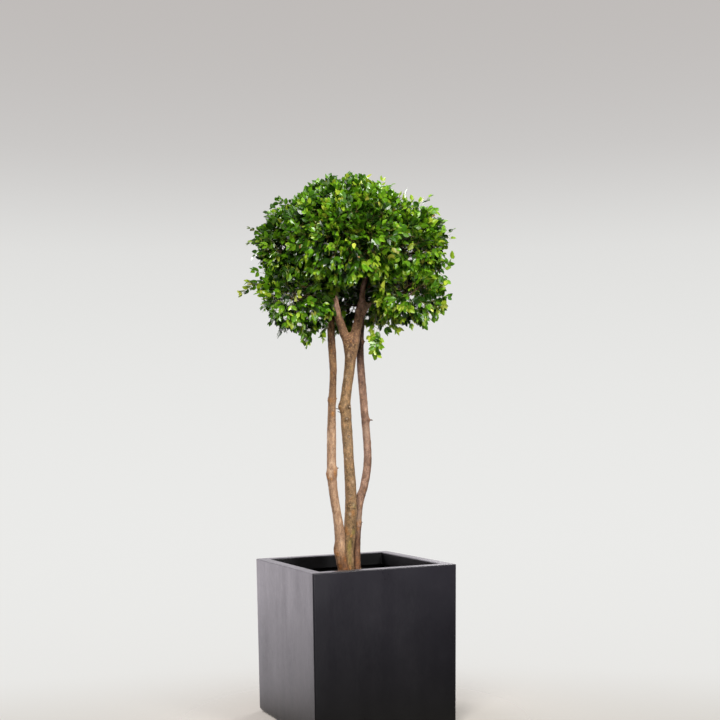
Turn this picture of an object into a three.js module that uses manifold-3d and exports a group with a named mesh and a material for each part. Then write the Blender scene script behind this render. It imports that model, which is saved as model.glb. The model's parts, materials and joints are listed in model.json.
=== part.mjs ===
// A standard tree with a round, lightly clipped head on three clear stems that
// rise from one clump, planted in a square planter.
//
// Millimetres, +Z up. The origin is the middle of the planter's flat underside.
// The planter's sides lie along X and Y. The plant is laid out in a frame of its
// own, turned about Z by PLANT_TURN: "across" is the plane in which the three
// stems stand side by side, "deep" is square to it.

import * as THREE from "three";
import { mergeVertices } from "three/addons/utils/BufferGeometryUtils.js";
import Module from "manifold-3d";

const wasm = await Module();
wasm.setup();

// ---------------------------------------------------------------- dimensions
const POT_TOP = 500; // outside width at the rim
const POT_BOTTOM = 485; // outside width at the foot
const POT_HEIGHT = 508;
const RIM_WIDTH = 38; // flat rim, turned inwards
const RIM_DEPTH = 42; // how far the turned rim reaches down inside
const WALL = 14; // moulded wall below the rim
const POT_FLOOR = 18;
const CORNER_R = 8; // upright edges
const FOOT_R = 14; // rolled edge round the underside
const EDGE_R = 4; // edges of the rim
const CORNER_STEPS = 3;

const SOIL_LEVEL = 450; // top of the compost
const SOIL_DOME = 1.5; // rise of the compost towards the stems
const GAP = 0.4; // between pieces that touch
const MASS_GAP = 3; // between neighbouring masses of leaves
const PLANT_TURN = -25.39; // degrees about Z

const STEM_SIDES = 10;
const STEM_STEP = 30; // spacing of the sections along a stem
const BOUGH_SIDES = 10;
const BOUGH_STEP = 20;
const LUMP_DETAIL = [3, 1]; // how finely the body and the sprays of a mass are faceted
const FORK_LEVEL = 1230; // where the middle stem parts into two boughs

// Stems. knees: [across, deep, height] of the places where the stem changes its
// lean. girth: [height, diameter]. knots: swellings where shoots were taken off,
// each with its height, the side it faces in degrees (0 = across, 90 = deep), how
// far it stands out, and its reach; a knot with no side runs all round.
const STEMS = {
  stem_left: {
    knees: [
      [-25, -26, 450],
      [-42, -21, 548],
      [-42, -18, 592],
      [-61, -16, 730],
      [-67, -13, 800],
      [-65, -4, 1000],
      [-59.5, 8, 1150],
      [-65, 22, 1260],
      [-66, 30, 1380],
    ],
    girth: [
      [450, 33],
      [590, 35],
      [670, 30],
      [900, 30],
      [1110, 24],
      [1240, 25.5],
      [1380, 23],
    ],
    knots: [
      { z: 545, side: 180, rise: 4, reach: 18 },
      { z: 797, rise: 3.4, reach: 15 },
      { z: 1042, rise: 3.2, reach: 14 },
      { z: 816, side: 0, rise: 4, reach: 7 },
    ],
    flare: { gain: 0.16, reach: 22, lobes: 3, turn: 0.8 },
    colour: 0xa8835f,
  },
  stem_middle: {
    knees: [
      [-17, 17, 450],
      [-16.5, 11, 545],
      [-11, 7, 598],
      [-4.5, 0, 700],
      [-10.5, 0, 850],
      [-18.5, 0, 1000],
      [-19, 0, 1040],
      [-5, 0, 1142],
      [1, 0, 1205],
      [2, 0, 1250],
    ],
    girth: [
      [450, 41],
      [620, 40],
      [700, 39],
      [860, 34.5],
      [960, 36.5],
      [1090, 34],
      [1150, 35.5],
      [1200, 38.5],
      [1240, 46],
    ],
    knots: [
      { z: 1020, side: 195, rise: 7, reach: 14 },
      { z: 1015, side: 300, rise: 3, reach: 9 },
      { z: 978, side: 275, rise: 2.5, reach: 8 },
    ],
    flare: { gain: 0.12, reach: 24, lobes: 4, turn: 0.2 },
    colour: 0x8b7650,
  },
  stem_right: {
    knees: [
      [11, 41, 450],
      [12, 38, 560],
      [18, 34, 640],
      [25, 31, 700],
      [38, 28, 748],
      [50.5, 26, 812],
      [52.5, 25, 870],
      [49, 25, 935],
      [40, 28, 1058],
      [33, 34, 1160],
      [32, 38, 1235],
      [36, 47, 1300],
      [40, 64, 1380],
    ],
    girth: [
      [450, 28],
      [560, 26],
      [640, 24],
      [760, 27],
      [900, 25.3],
      [1100, 26.8],
      [1210, 24.5],
      [1380, 21],
    ],
    knots: [
      { z: 722, side: 180, rise: 3.5, reach: 12 },
      { z: 974, side: 0, rise: 6.5, reach: 8 },
      { z: 1240, side: 10, rise: 3, reach: 8 },
    ],
    flare: { gain: 0.2, reach: 20, lobes: 3, turn: 2.1 },
    colour: 0x7c5c4b,
  },
};

// Boughs: one tapering limb each, from a foot to a tip, thicker at the foot.
const BOUGHS = {
  bough_fork_left: {
    knees: [
      [-3, -1, 1196],
      [-10, -3, 1240],
      [-21.5, -7, 1264],
      [-30, -10, 1292],
      [-42, -14, 1328],
      [-49.5, -17, 1386],
    ],
    girth: [
      [1200, 36],
      [1245, 30.5],
      [1290, 28.5],
      [1330, 25.5],
      [1386, 18],
    ],
    knots: [],
    colour: 0x6e5647,
  },
  bough_fork_right: {
    knees: [
      [6, 0, 1200],
      [13, 0, 1240],
      [20, 1, 1278],
      [28, 2, 1312],
      [37, 3, 1346],
      [40, 3, 1358],
    ],
    girth: [
      [1200, 38],
      [1245, 31.5],
      [1310, 31.5],
      [1358, 28],
    ],
    knots: [{ z: 1346, rise: 2.5, reach: 12 }],
    colour: 0x6e5647,
  },
  bough_upper: {
    knees: [
      [38.5, 3, 1352],
      [41, 4, 1385],
      [43.5, 5, 1415],
      [52, 6, 1450],
      [60, 7, 1490],
    ],
    girth: [
      [1352, 23],
      [1375, 18],
      [1430, 15.5],
      [1490, 13],
    ],
    knots: [],
    colour: 0x8a6a58,
  },
  bough_side: {
    knees: [
      [38, 2, 1338],
      [52, 0, 1352],
      [66, -3, 1362],
      [84, -8, 1372],
      [100, -14, 1384],
    ],
    girth: [
      [1338, 19],
      [1352, 16.5],
      [1384, 12],
    ],
    knots: [],
    colour: 0x6e5647,
  },
};

// Masses of leaves. Each has lumps: [across, deep, height, half-width across,
// half-width deep, half-height]. The first lump is the body of the mass, and any
// others are sprays that stand out of it or hang from it.
const MASSES = {
  foliage_lower_left: {
    lumps: [
      [-172, -28, 1378, 122, 165, 108],
      [-300, -14, 1446, 38, 32, 30],
      [-343, -18, 1418, 36, 26, 20],
      [-149, -38, 1252, 24, 24, 38],
      [-240, -20, 1300, 34, 60, 34],
    ],
    uneven: 0.1,
    seed: 3,
    colour: 0x3f6b2c,
  },
  foliage_lower_right: {
    lumps: [
      [198, -12, 1385, 136, 172, 112],
      [120, -38, 1302, 58, 60, 46],
      [84, -44, 1238, 24, 24, 60],
      [300, -20, 1335, 40, 60, 34],
    ],
    uneven: 0.1,
    seed: 11,
    colour: 0x47752f,
  },
  foliage_lower_back: {
    lumps: [
      [16, 162, 1380, 160, 118, 88],
      [45, 82, 1352, 46, 52, 46],
      [-90, 190, 1335, 70, 60, 42],
    ],
    uneven: 0.1,
    seed: 19,
    colour: 0x35602a,
  },
  foliage_front: {
    lumps: [
      [-12, -200, 1562, 186, 126, 156],
      [60, -262, 1650, 70, 40, 60],
    ],
    uneven: 0.1,
    seed: 27,
    colour: 0x4f8033,
  },
  foliage_left: {
    lumps: [
      [-183, 4, 1556, 136, 186, 146],
      [-318, -14, 1602, 30, 50, 30],
      [-282, -6, 1476, 38, 84, 44],
      [-226, 2, 1702, 32, 40, 22],
    ],
    uneven: 0.09,
    seed: 35,
    colour: 0x43722f,
  },
  foliage_right: {
    lumps: [
      [198, 4, 1556, 138, 186, 146],
      [332, -6, 1602, 26, 46, 28],
      [262, -10, 1690, 28, 40, 22],
      [296, -4, 1472, 44, 90, 48],
    ],
    uneven: 0.09,
    seed: 43,
    colour: 0x4a7a31,
  },
  foliage_back: {
    lumps: [
      [10, 200, 1560, 196, 126, 166],
      [-70, 262, 1600, 70, 52, 70],
    ],
    uneven: 0.1,
    seed: 51,
    colour: 0x3c6a2c,
  },
  foliage_top: {
    lumps: [
      [2, 6, 1628, 204, 196, 158],
      [-68, -8, 1787, 24, 26, 22],
      [-126, 0, 1746, 36, 38, 26],
      [122, 0, 1754, 32, 36, 30],
      [60, -2, 1780, 26, 30, 18],
    ],
    uneven: 0.06,
    seed: 59,
    colour: 0x56883a,
  },
};

// ------------------------------------------------------------------- helpers
const smooth = (t) => t * t * (3 - 2 * t);

// The value at height z of a table of [height, value].
function along(table, z) {
  if (z <= table[0][0]) return table[0][1];
  for (let i = 1; i < table.length; i++)
    if (z <= table[i][0]) {
      const [z0, v0] = table[i - 1];
      const [z1, v1] = table[i];
      return v0 + (v1 - v0) * smooth((z - z0) / (z1 - z0));
    }
  return table[table.length - 1][1];
}

// Rings of points joined into one closed skin, with a fan over each end.
function loft(rings) {
  const sides = rings[0].length;
  const at = rings.flat().map((p) => [p.x, p.y, p.z]);
  const middle = (ring) => {
    const m = new THREE.Vector3();
    for (const p of ring) m.add(p);
    return m.divideScalar(ring.length);
  };
  const faces = [];
  for (let i = 0; i + 1 < rings.length; i++)
    for (let j = 0; j < sides; j++) {
      const k = (j + 1) % sides;
      const a = i * sides + j;
      const b = i * sides + k;
      const c = a + sides;
      const d = b + sides;
      faces.push(a, b, d, a, d, c);
    }
  const first = at.length;
  const m0 = middle(rings[0]);
  at.push([m0.x, m0.y, m0.z]);
  const m1 = middle(rings[rings.length - 1]);
  at.push([m1.x, m1.y, m1.z]);
  const last = (rings.length - 1) * sides;
  for (let j = 0; j < sides; j++) {
    const k = (j + 1) % sides;
    faces.push(first, k, j);
    faces.push(first + 1, last + j, last + k);
  }
  const g = new THREE.BufferGeometry();
  g.setAttribute("position", new THREE.Float32BufferAttribute(at.flat(), 3));
  g.setIndex(faces);
  return g;
}

// A closed geometry as a solid, turned to face out.
function solidOf(geometry) {
  const g = geometry.clone();
  g.deleteAttribute("normal");
  g.deleteAttribute("uv");
  const m = mergeVertices(g, 1e-4);
  const make = (tris) =>
    new wasm.Manifold(
      new wasm.Mesh({
        numProp: 3,
        vertProperties: new Float32Array(m.attributes.position.array),
        triVerts: tris,
      }),
    );
  const tris = new Uint32Array(m.index.array);
  const made = make(tris);
  if (made.volume() > 0) return made;
  for (let i = 0; i < tris.length; i += 3)
    [tris[i + 1], tris[i + 2]] = [tris[i + 2], tris[i + 1]];
  return make(tris);
}

// The largest single piece of a solid, without slivers.
function largest(solid, tolerance) {
  const tidy = solid.simplify(tolerance);
  const bodies = tidy.decompose();
  bodies.sort((a, b) => b.volume() - a.volume());
  return bodies[0];
}

function geometryOf(solid) {
  const mesh = solid.getMesh();
  const n = mesh.numProp;
  const at = [];
  for (let i = 0; i < mesh.vertProperties.length; i += n)
    at.push(
      mesh.vertProperties[i],
      mesh.vertProperties[i + 1],
      mesh.vertProperties[i + 2],
    );
  const g = new THREE.BufferGeometry();
  g.setAttribute("position", new THREE.Float32BufferAttribute(at, 3));
  g.setIndex(Array.from(mesh.triVerts));
  const flat = g.toNonIndexed();
  flat.computeVertexNormals();
  return flat;
}

function part(name, solid, colour, roughness, metalness = 0) {
  const mesh = new THREE.Mesh(
    geometryOf(solid),
    new THREE.MeshStandardMaterial({ color: colour, roughness, metalness }),
  );
  mesh.name = name;
  return mesh;
}

// A block with its base at z0 and its top at z1, wide enough to cut anything.
function block(z0, z1) {
  const g = new THREE.BoxGeometry(900, 900, z1 - z0);
  g.translate(0, 0, (z0 + z1) / 2);
  return solidOf(g);
}

// -------------------------------------------------------------------- planter
// A ring of the planter: a square with rounded corners.
function squareRing(half, z, radius) {
  const ring = [];
  for (let c = 0; c < 4; c++) {
    const sx = c === 0 || c === 3 ? 1 : -1;
    const sy = c < 2 ? 1 : -1;
    for (let i = 0; i <= CORNER_STEPS; i++) {
      const a = ((c + i / CORNER_STEPS) * Math.PI) / 2;
      ring.push(
        new THREE.Vector3(
          sx * (half - radius) + radius * Math.cos(a),
          sy * (half - radius) + radius * Math.sin(a),
          z,
        ),
      );
    }
  }
  return ring;
}

function planter() {
  const outside = (z) =>
    (POT_BOTTOM + ((POT_TOP - POT_BOTTOM) * z) / POT_HEIGHT) / 2;
  const rings = [];
  for (let i = 0; i <= 4; i++) {
    const a = ((i / 4) * Math.PI) / 2;
    const z = FOOT_R * (1 - Math.cos(a));
    rings.push(
      squareRing(
        outside(z) - FOOT_R * (1 - Math.sin(a)),
        z,
        CORNER_R + 4 * (1 - Math.sin(a)),
      ),
    );
  }
  for (let i = 0; i <= 2; i++) {
    const a = ((i / 2) * Math.PI) / 2;
    const z = POT_HEIGHT - EDGE_R * (1 - Math.sin(a));
    rings.push(
      squareRing(outside(z) - EDGE_R * (1 - Math.cos(a)), z, CORNER_R),
    );
  }
  const mouth = POT_TOP / 2 - RIM_WIDTH;
  for (let i = 0; i <= 2; i++) {
    const a = ((i / 2) * Math.PI) / 2;
    const z = POT_HEIGHT - EDGE_R * (1 - Math.cos(a));
    rings.push(squareRing(mouth + EDGE_R * (1 - Math.sin(a)), z, 6));
  }
  const under = POT_HEIGHT - RIM_DEPTH;
  rings.push(squareRing(mouth, under, 6));
  rings.push(squareRing(outside(under) - WALL, under - 3, 6));
  rings.push(squareRing(outside(POT_FLOOR) - WALL, POT_FLOOR, 6));
  return solidOf(loft(rings));
}

// Compost: fills the planter below the turned rim and rises a little to the stems.
function compost() {
  const inside = (z) =>
    (POT_BOTTOM + ((POT_TOP - POT_BOTTOM) * z) / POT_HEIGHT) / 2 - WALL - 1;
  const rings = [
    squareRing(inside(POT_FLOOR), POT_FLOOR + GAP, 6),
    squareRing(inside(SOIL_LEVEL) - 1, SOIL_LEVEL - 8, 6),
    squareRing(inside(SOIL_LEVEL) - 6, SOIL_LEVEL - SOIL_DOME, 6),
    squareRing(130, SOIL_LEVEL, 50),
  ];
  return solidOf(loft(rings));
}

// ---------------------------------------------------------------------- limbs
// One limb: sections square to its centre line, whose size follows its girth,
// swells at its knots and root flare, and is slightly out of round.
function limb(spec, sides, step, extra = 0) {
  const curve = new THREE.CatmullRomCurve3(
    spec.knees.map((k) => new THREE.Vector3(...k)),
    false,
    "centripetal",
  );
  const count = Math.max(4, Math.round(curve.getLength() / step));
  const rings = [];
  for (let i = 0; i <= count; i++) {
    const p = curve.getPointAt(i / count);
    const t = curve.getTangentAt(i / count);
    const e0 = new THREE.Vector3(1, 0, 0).addScaledVector(t, -t.x).normalize();
    const e1 = new THREE.Vector3().crossVectors(t, e0);
    const ring = [];
    for (let j = 0; j < sides; j++) {
      const a = (j / sides) * 2 * Math.PI;
      let r = along(spec.girth, p.z) / 2;
      r *= 1 + 0.025 * Math.sin(2 * a + p.z / 61) + 0.02 * Math.sin(3 * a - p.z / 37);
      if (spec.flare) {
        const f = spec.flare;
        const low = Math.exp(-Math.max(0, p.z - SOIL_LEVEL) / f.reach);
        r *= 1 + f.gain * low * (1 + 0.5 * Math.cos(f.lobes * a + f.turn));
      }
      for (const k of spec.knots) {
        const near = Math.exp(-(((p.z - k.z) / k.reach) ** 2));
        const round =
          k.side === undefined
            ? 1
            : Math.max(0, Math.cos(a - (k.side * Math.PI) / 180)) ** 2;
        r += k.rise * near * round;
      }
      r += extra;
      ring.push(
        p
          .clone()
          .addScaledVector(e0, r * Math.cos(a))
          .addScaledVector(e1, r * Math.sin(a)),
      );
    }
    rings.push(ring);
  }
  return solidOf(loft(rings));
}

// --------------------------------------------------------------------- masses
// A smooth unevenness over directions, the same for the same seed.
function uneven(d, seed) {
  let v = 0;
  let size = 1;
  for (let k = 0; k < 3; k++) {
    const f = 2.1 * 1.9 ** k;
    const s = seed * 1.7 + k * 5.3;
    v +=
      size *
      (Math.sin(f * d.x + s) * Math.sin(f * d.y + 1.3 * s) +
        Math.sin(f * d.z + 0.7 * s) * Math.cos(f * (d.x - d.y) + 2.1 * s));
    size *= 0.55;
  }
  return v / 1.6;
}

function lump([x, y, z, rx, ry, rz], amount, seed, detail, extra) {
  const g = new THREE.IcosahedronGeometry(1, detail);
  g.deleteAttribute("normal");
  g.deleteAttribute("uv");
  const m = mergeVertices(g, 1e-4);
  const at = m.attributes.position;
  const d = new THREE.Vector3();
  for (let i = 0; i < at.count; i++) {
    d.fromBufferAttribute(at, i).normalize();
    const k = 1 + amount * uneven(d, seed);
    at.setXYZ(
      i,
      x + d.x * (rx * k + extra),
      y + d.y * (ry * k + extra),
      z + d.z * (rz * k + extra),
    );
  }
  return solidOf(m);
}

function mass(spec, extra = 0) {
  let made = null;
  spec.lumps.forEach((l, i) => {
    const one = lump(l, spec.uneven, spec.seed + i * 4, i ? LUMP_DETAIL[1] : LUMP_DETAIL[0], extra);
    made = made ? made.add(one) : one;
  });
  return made;
}

// ------------------------------------------------------------------- assembly
const group = new THREE.Group();
group.add(part("pot", planter(), 0x2b2a2d, 0.55));
group.add(part("compost", compost(), 0x2c221b, 0.95));

const plant = new THREE.Group();
plant.rotation.z = (PLANT_TURN * Math.PI) / 180;
group.add(plant);

// Masses, each cut back from those before it.
const masses = {};
const grown = [];
for (const [name, spec] of Object.entries(MASSES)) {
  let solid = mass(spec);
  for (const other of grown) solid = solid.subtract(other);
  masses[name] = largest(solid, 1.2);
  grown.push(mass(spec, MASS_GAP));
}

// Stems: a flat cut on the compost, a foot against its neighbours' feet, and an
// end where the stem enters a mass.
const limbs = {};
const swollen = [];
for (const [name, spec] of Object.entries(STEMS)) {
  let solid = limb(spec, STEM_SIDES, STEM_STEP);
  solid = solid.subtract(block(SOIL_LEVEL - 200, SOIL_LEVEL + GAP));
  if (name === "stem_middle")
    solid = solid.subtract(block(FORK_LEVEL, FORK_LEVEL + 300));
  for (const other of swollen) solid = solid.subtract(other);
  limbs[name] = solid;
  swollen.push(limb(spec, STEM_SIDES, STEM_STEP, GAP));
}
for (const [name, spec] of Object.entries(BOUGHS)) {
  let solid = limb(spec, BOUGH_SIDES, BOUGH_STEP);
  if (name.startsWith("bough_fork")) {
    solid = solid.subtract(block(FORK_LEVEL - 300, FORK_LEVEL + GAP));
    for (const other of swollen.filter((_, i) => i !== 1))
      solid = solid.subtract(other);
  } else for (const other of swollen) solid = solid.subtract(other);
  limbs[name] = solid;
  swollen.push(limb(spec, BOUGH_SIDES, BOUGH_STEP, GAP));
}
for (const [name, solid] of Object.entries(limbs)) {
  let ended = solid;
  for (const spec of Object.values(MASSES))
    ended = ended.subtract(mass(spec, GAP));
  const spec = STEMS[name] || BOUGHS[name];
  plant.add(part(name, largest(ended, 0.15), spec.colour, 0.85));
}
for (const [name, solid] of Object.entries(masses))
  plant.add(part(name, solid, MASSES[name].colour, 0.6));

export default group;
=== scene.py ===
"""Looks of the standard with a round head on three clear stems, in a square planter.

Metres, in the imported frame. The plant is laid out in millimetres in its own
turned frame: "across" is the plane in which the stems stand side by side,
"deep" is square to it, and the height is Z.
"""

import json
import math

import bpy
import numpy as np
from mathutils import Matrix, Vector

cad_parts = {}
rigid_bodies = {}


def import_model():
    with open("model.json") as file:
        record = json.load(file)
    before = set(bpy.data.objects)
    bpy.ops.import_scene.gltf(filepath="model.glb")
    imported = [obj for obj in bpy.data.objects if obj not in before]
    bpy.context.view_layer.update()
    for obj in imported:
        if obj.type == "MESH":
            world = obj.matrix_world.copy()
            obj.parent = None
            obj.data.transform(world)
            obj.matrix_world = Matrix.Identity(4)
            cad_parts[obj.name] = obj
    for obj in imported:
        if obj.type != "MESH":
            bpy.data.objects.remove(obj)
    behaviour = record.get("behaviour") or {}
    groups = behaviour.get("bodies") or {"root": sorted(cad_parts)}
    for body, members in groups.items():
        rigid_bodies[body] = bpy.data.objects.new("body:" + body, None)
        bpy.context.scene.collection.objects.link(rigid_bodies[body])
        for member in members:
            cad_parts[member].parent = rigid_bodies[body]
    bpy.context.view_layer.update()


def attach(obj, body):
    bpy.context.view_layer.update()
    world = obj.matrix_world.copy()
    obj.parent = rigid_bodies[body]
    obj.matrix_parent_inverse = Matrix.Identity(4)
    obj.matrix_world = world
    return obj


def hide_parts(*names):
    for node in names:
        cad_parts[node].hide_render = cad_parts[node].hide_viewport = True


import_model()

# ------------------------------------------------------------------ named sizes
POT_TOP, POT_BOTTOM, POT_HEIGHT = 500.0, 485.0, 508.0
RIM_WIDTH, RIM_DEPTH = 38.0, 42.0
WALL, POT_FLOOR = 14.0, 18.0
CORNER_R, FOOT_R, EDGE_R = 6.0, 14.0, 3.0
SOIL_LEVEL = 450.0
FORK_LEVEL = 1230.0
TURN = math.radians(-25.39)

STEMS = {
    "stem_left": {
        "knees": [
            [-25, -26, 440],
            [-42, -21, 548],
            [-42, -18, 592],
            [-61, -16, 730],
            [-67, -13, 800],
            [-65, -4, 1000],
            [-59.5, 8, 1150],
            [-65, 22, 1260],
            [-66, 30, 1380],
        ],
        "girth": [
            [450, 33],
            [590, 35],
            [670, 30],
            [900, 30],
            [1110, 24],
            [1240, 25.5],
            [1380, 20],
        ],
        "knots": [
            {"z": 545, "side": 180, "rise": 4, "reach": 18},
            {"z": 797, "rise": 1.5, "reach": 17},
            {"z": 797, "side": 195, "rise": 2.6, "reach": 11},
            {"z": 782, "side": 235, "rise": 2.0, "reach": 7},
            {"z": 802, "side": 345, "rise": 2.6, "reach": 14},
            {"z": 1042, "rise": 1.7, "reach": 13},
            {"z": 1046, "side": 185, "rise": 1.6, "reach": 7},
            {"z": 995, "side": 280, "rise": 1.2, "reach": 7},
            {"z": 816, "side": 0, "rise": 2.5, "reach": 6},
            {"z": 505, "side": 250, "rise": 2.5, "reach": 11},
            {"z": 478, "side": 310, "rise": 3.0, "reach": 10},
        ],
        "flare": {"gain": 0.16, "reach": 22, "lobes": 3, "turn": 0.8},
        "rough_foot": 1.9,
        "seed": 5,
    },
    "stem_middle": {
        "knees": [
            [-17, 17, 440],
            [-16.5, 11, 545],
            [-11, 7, 598],
            [-4.5, 0, 700],
            [-10.5, 0, 850],
            [-18.5, 0, 1000],
            [-19, 0, 1040],
            [-5, 0, 1142],
            [1, 0, 1205],
            [2, 0, 1236],
        ],
        "girth": [
            [450, 41],
            [620, 40],
            [700, 39],
            [860, 34.5],
            [960, 36.5],
            [1090, 34],
            [1150, 35.5],
            [1200, 38.5],
            [1240, 43],
        ],
        "knots": [
            {"z": 1020, "side": 195, "rise": 7, "reach": 14},
            {"z": 1015, "side": 300, "rise": 3, "reach": 9},
            {"z": 978, "side": 275, "rise": 2.5, "reach": 8},
            {"z": 917, "side": 285, "rise": 1.5, "reach": 6},
            {"z": 668, "side": 300, "rise": 1.2, "reach": 12},
            {"z": 612, "side": 330, "rise": 2.0, "reach": 16},
        ],
        "flare": {"gain": 0.12, "reach": 24, "lobes": 4, "turn": 0.2},
        "rough_foot": 1.2,
        "seed": 17,
    },
    "stem_right": {
        "knees": [
            [11, 41, 440],
            [12, 38, 560],
            [18, 34, 640],
            [25, 31, 700],
            [38, 28, 748],
            [50.5, 26, 812],
            [52.5, 25, 870],
            [49, 25, 935],
            [40, 28, 1058],
            [33, 34, 1160],
            [32, 38, 1235],
            [36, 47, 1300],
            [40, 64, 1380],
        ],
        "girth": [
            [450, 28],
            [560, 26],
            [640, 24],
            [760, 27],
            [900, 25.3],
            [1100, 26.8],
            [1210, 24.5],
            [1380, 18],
        ],
        "knots": [
            {"z": 722, "side": 180, "rise": 3.5, "reach": 12},
            {"z": 974, "side": 0, "rise": 4.5, "reach": 8},
            {"z": 1240, "side": 10, "rise": 3, "reach": 8},
            {"z": 628, "rise": 1.8, "reach": 10},
        ],
        "flare": {"gain": 0.2, "reach": 20, "lobes": 3, "turn": 2.1},
        "rough_foot": 1.0,
        "seed": 29,
    },
}

BOUGHS = {
    "bough_fork_left": {
        "knees": [
            [-3, -1, 1196],
            [-10, -3, 1240],
            [-21.5, -7, 1264],
            [-30, -10, 1292],
            [-42, -14, 1328],
            [-49.5, -17, 1386],
        ],
        "girth": [
            [1196, 20],
            [1220, 29],
            [1250, 30.5],
            [1290, 28.5],
            [1330, 25.5],
            [1386, 17],
        ],
        "knots": [],
        "seed": 41,
    },
    "bough_fork_right": {
        "knees": [
            [6, 0, 1200],
            [13, 0, 1240],
            [20, 1, 1278],
            [28, 2, 1312],
            [37, 3, 1346],
            [40, 3, 1358],
        ],
        "girth": [[1200, 22], [1222, 31], [1250, 31.5], [1310, 31], [1358, 26]],
        "knots": [{"z": 1346, "rise": 2.0, "reach": 12}],
        "seed": 43,
    },
    "bough_upper": {
        "knees": [
            [38, 3, 1346],
            [41, 4, 1385],
            [43.5, 5, 1415],
            [52, 6, 1450],
            [60, 7, 1490],
        ],
        "girth": [[1352, 23], [1375, 19.5], [1430, 17.5], [1490, 14]],
        "knots": [],
        "seed": 47,
    },
    "bough_side": {
        "knees": [
            [34, 2, 1334],
            [52, 0, 1352],
            [66, -3, 1362],
            [84, -8, 1372],
            [100, -14, 1384],
        ],
        "girth": [[1338, 19], [1352, 16.5], [1384, 11]],
        "knots": [],
        "seed": 53,
    },
}

# Masses of leaves: [across, deep, height, half-width across, deep, half-height].
MASSES = {
    "lower_left": {
        "lumps": [
            [-172, -28, 1378, 122, 165, 108],
            [-300, -14, 1446, 38, 32, 30],
            [-343, -18, 1418, 36, 26, 20],
            [-149, -38, 1252, 24, 24, 38],
            [-240, -20, 1300, 34, 60, 34],
        ],
        "uneven": 0.1,
        "seed": 3,
    },
    "lower_right": {
        "lumps": [
            [196, -12, 1390, 132, 166, 100],
            [118, -38, 1304, 54, 58, 44],
            [84, -44, 1238, 24, 24, 60],
            [286, -20, 1362, 34, 60, 24],
        ],
        "uneven": 0.1,
        "seed": 11,
    },
    "lower_back": {
        "lumps": [
            [16, 162, 1380, 160, 118, 88],
            [45, 82, 1352, 46, 52, 46],
            [-90, 190, 1335, 70, 60, 42],
        ],
        "uneven": 0.1,
        "seed": 19,
    },
    "front": {
        "lumps": [[-12, -200, 1562, 186, 126, 156], [60, -262, 1650, 70, 40, 60]],
        "uneven": 0.1,
        "seed": 27,
    },
    "left": {
        "lumps": [
            [-180, 4, 1554, 126, 176, 138],
            [-312, -14, 1602, 28, 46, 26],
            [-282, -6, 1476, 38, 84, 44],
            [-224, 2, 1690, 54, 58, 44],
        ],
        "uneven": 0.09,
        "seed": 35,
    },
    "right": {
        "lumps": [
            [194, 4, 1550, 128, 176, 134],
            [326, -6, 1600, 26, 42, 26],
            [252, -10, 1676, 26, 36, 20],
            [200, 0, 1672, 72, 70, 50],
            [296, -4, 1472, 44, 90, 48],
        ],
        "uneven": 0.09,
        "seed": 43,
    },
    "back": {
        "lumps": [[10, 200, 1560, 196, 126, 166], [-70, 262, 1600, 70, 52, 70]],
        "uneven": 0.1,
        "seed": 51,
    },
    "top": {
        "lumps": [
            [2, 6, 1628, 204, 196, 158],
            [-68, -8, 1787, 24, 26, 22],
            [-126, 0, 1746, 36, 38, 26],
            [122, 0, 1754, 32, 36, 30],
            [60, -2, 1780, 26, 30, 18],
        ],
        "uneven": 0.06,
        "seed": 59,
    },
}

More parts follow.
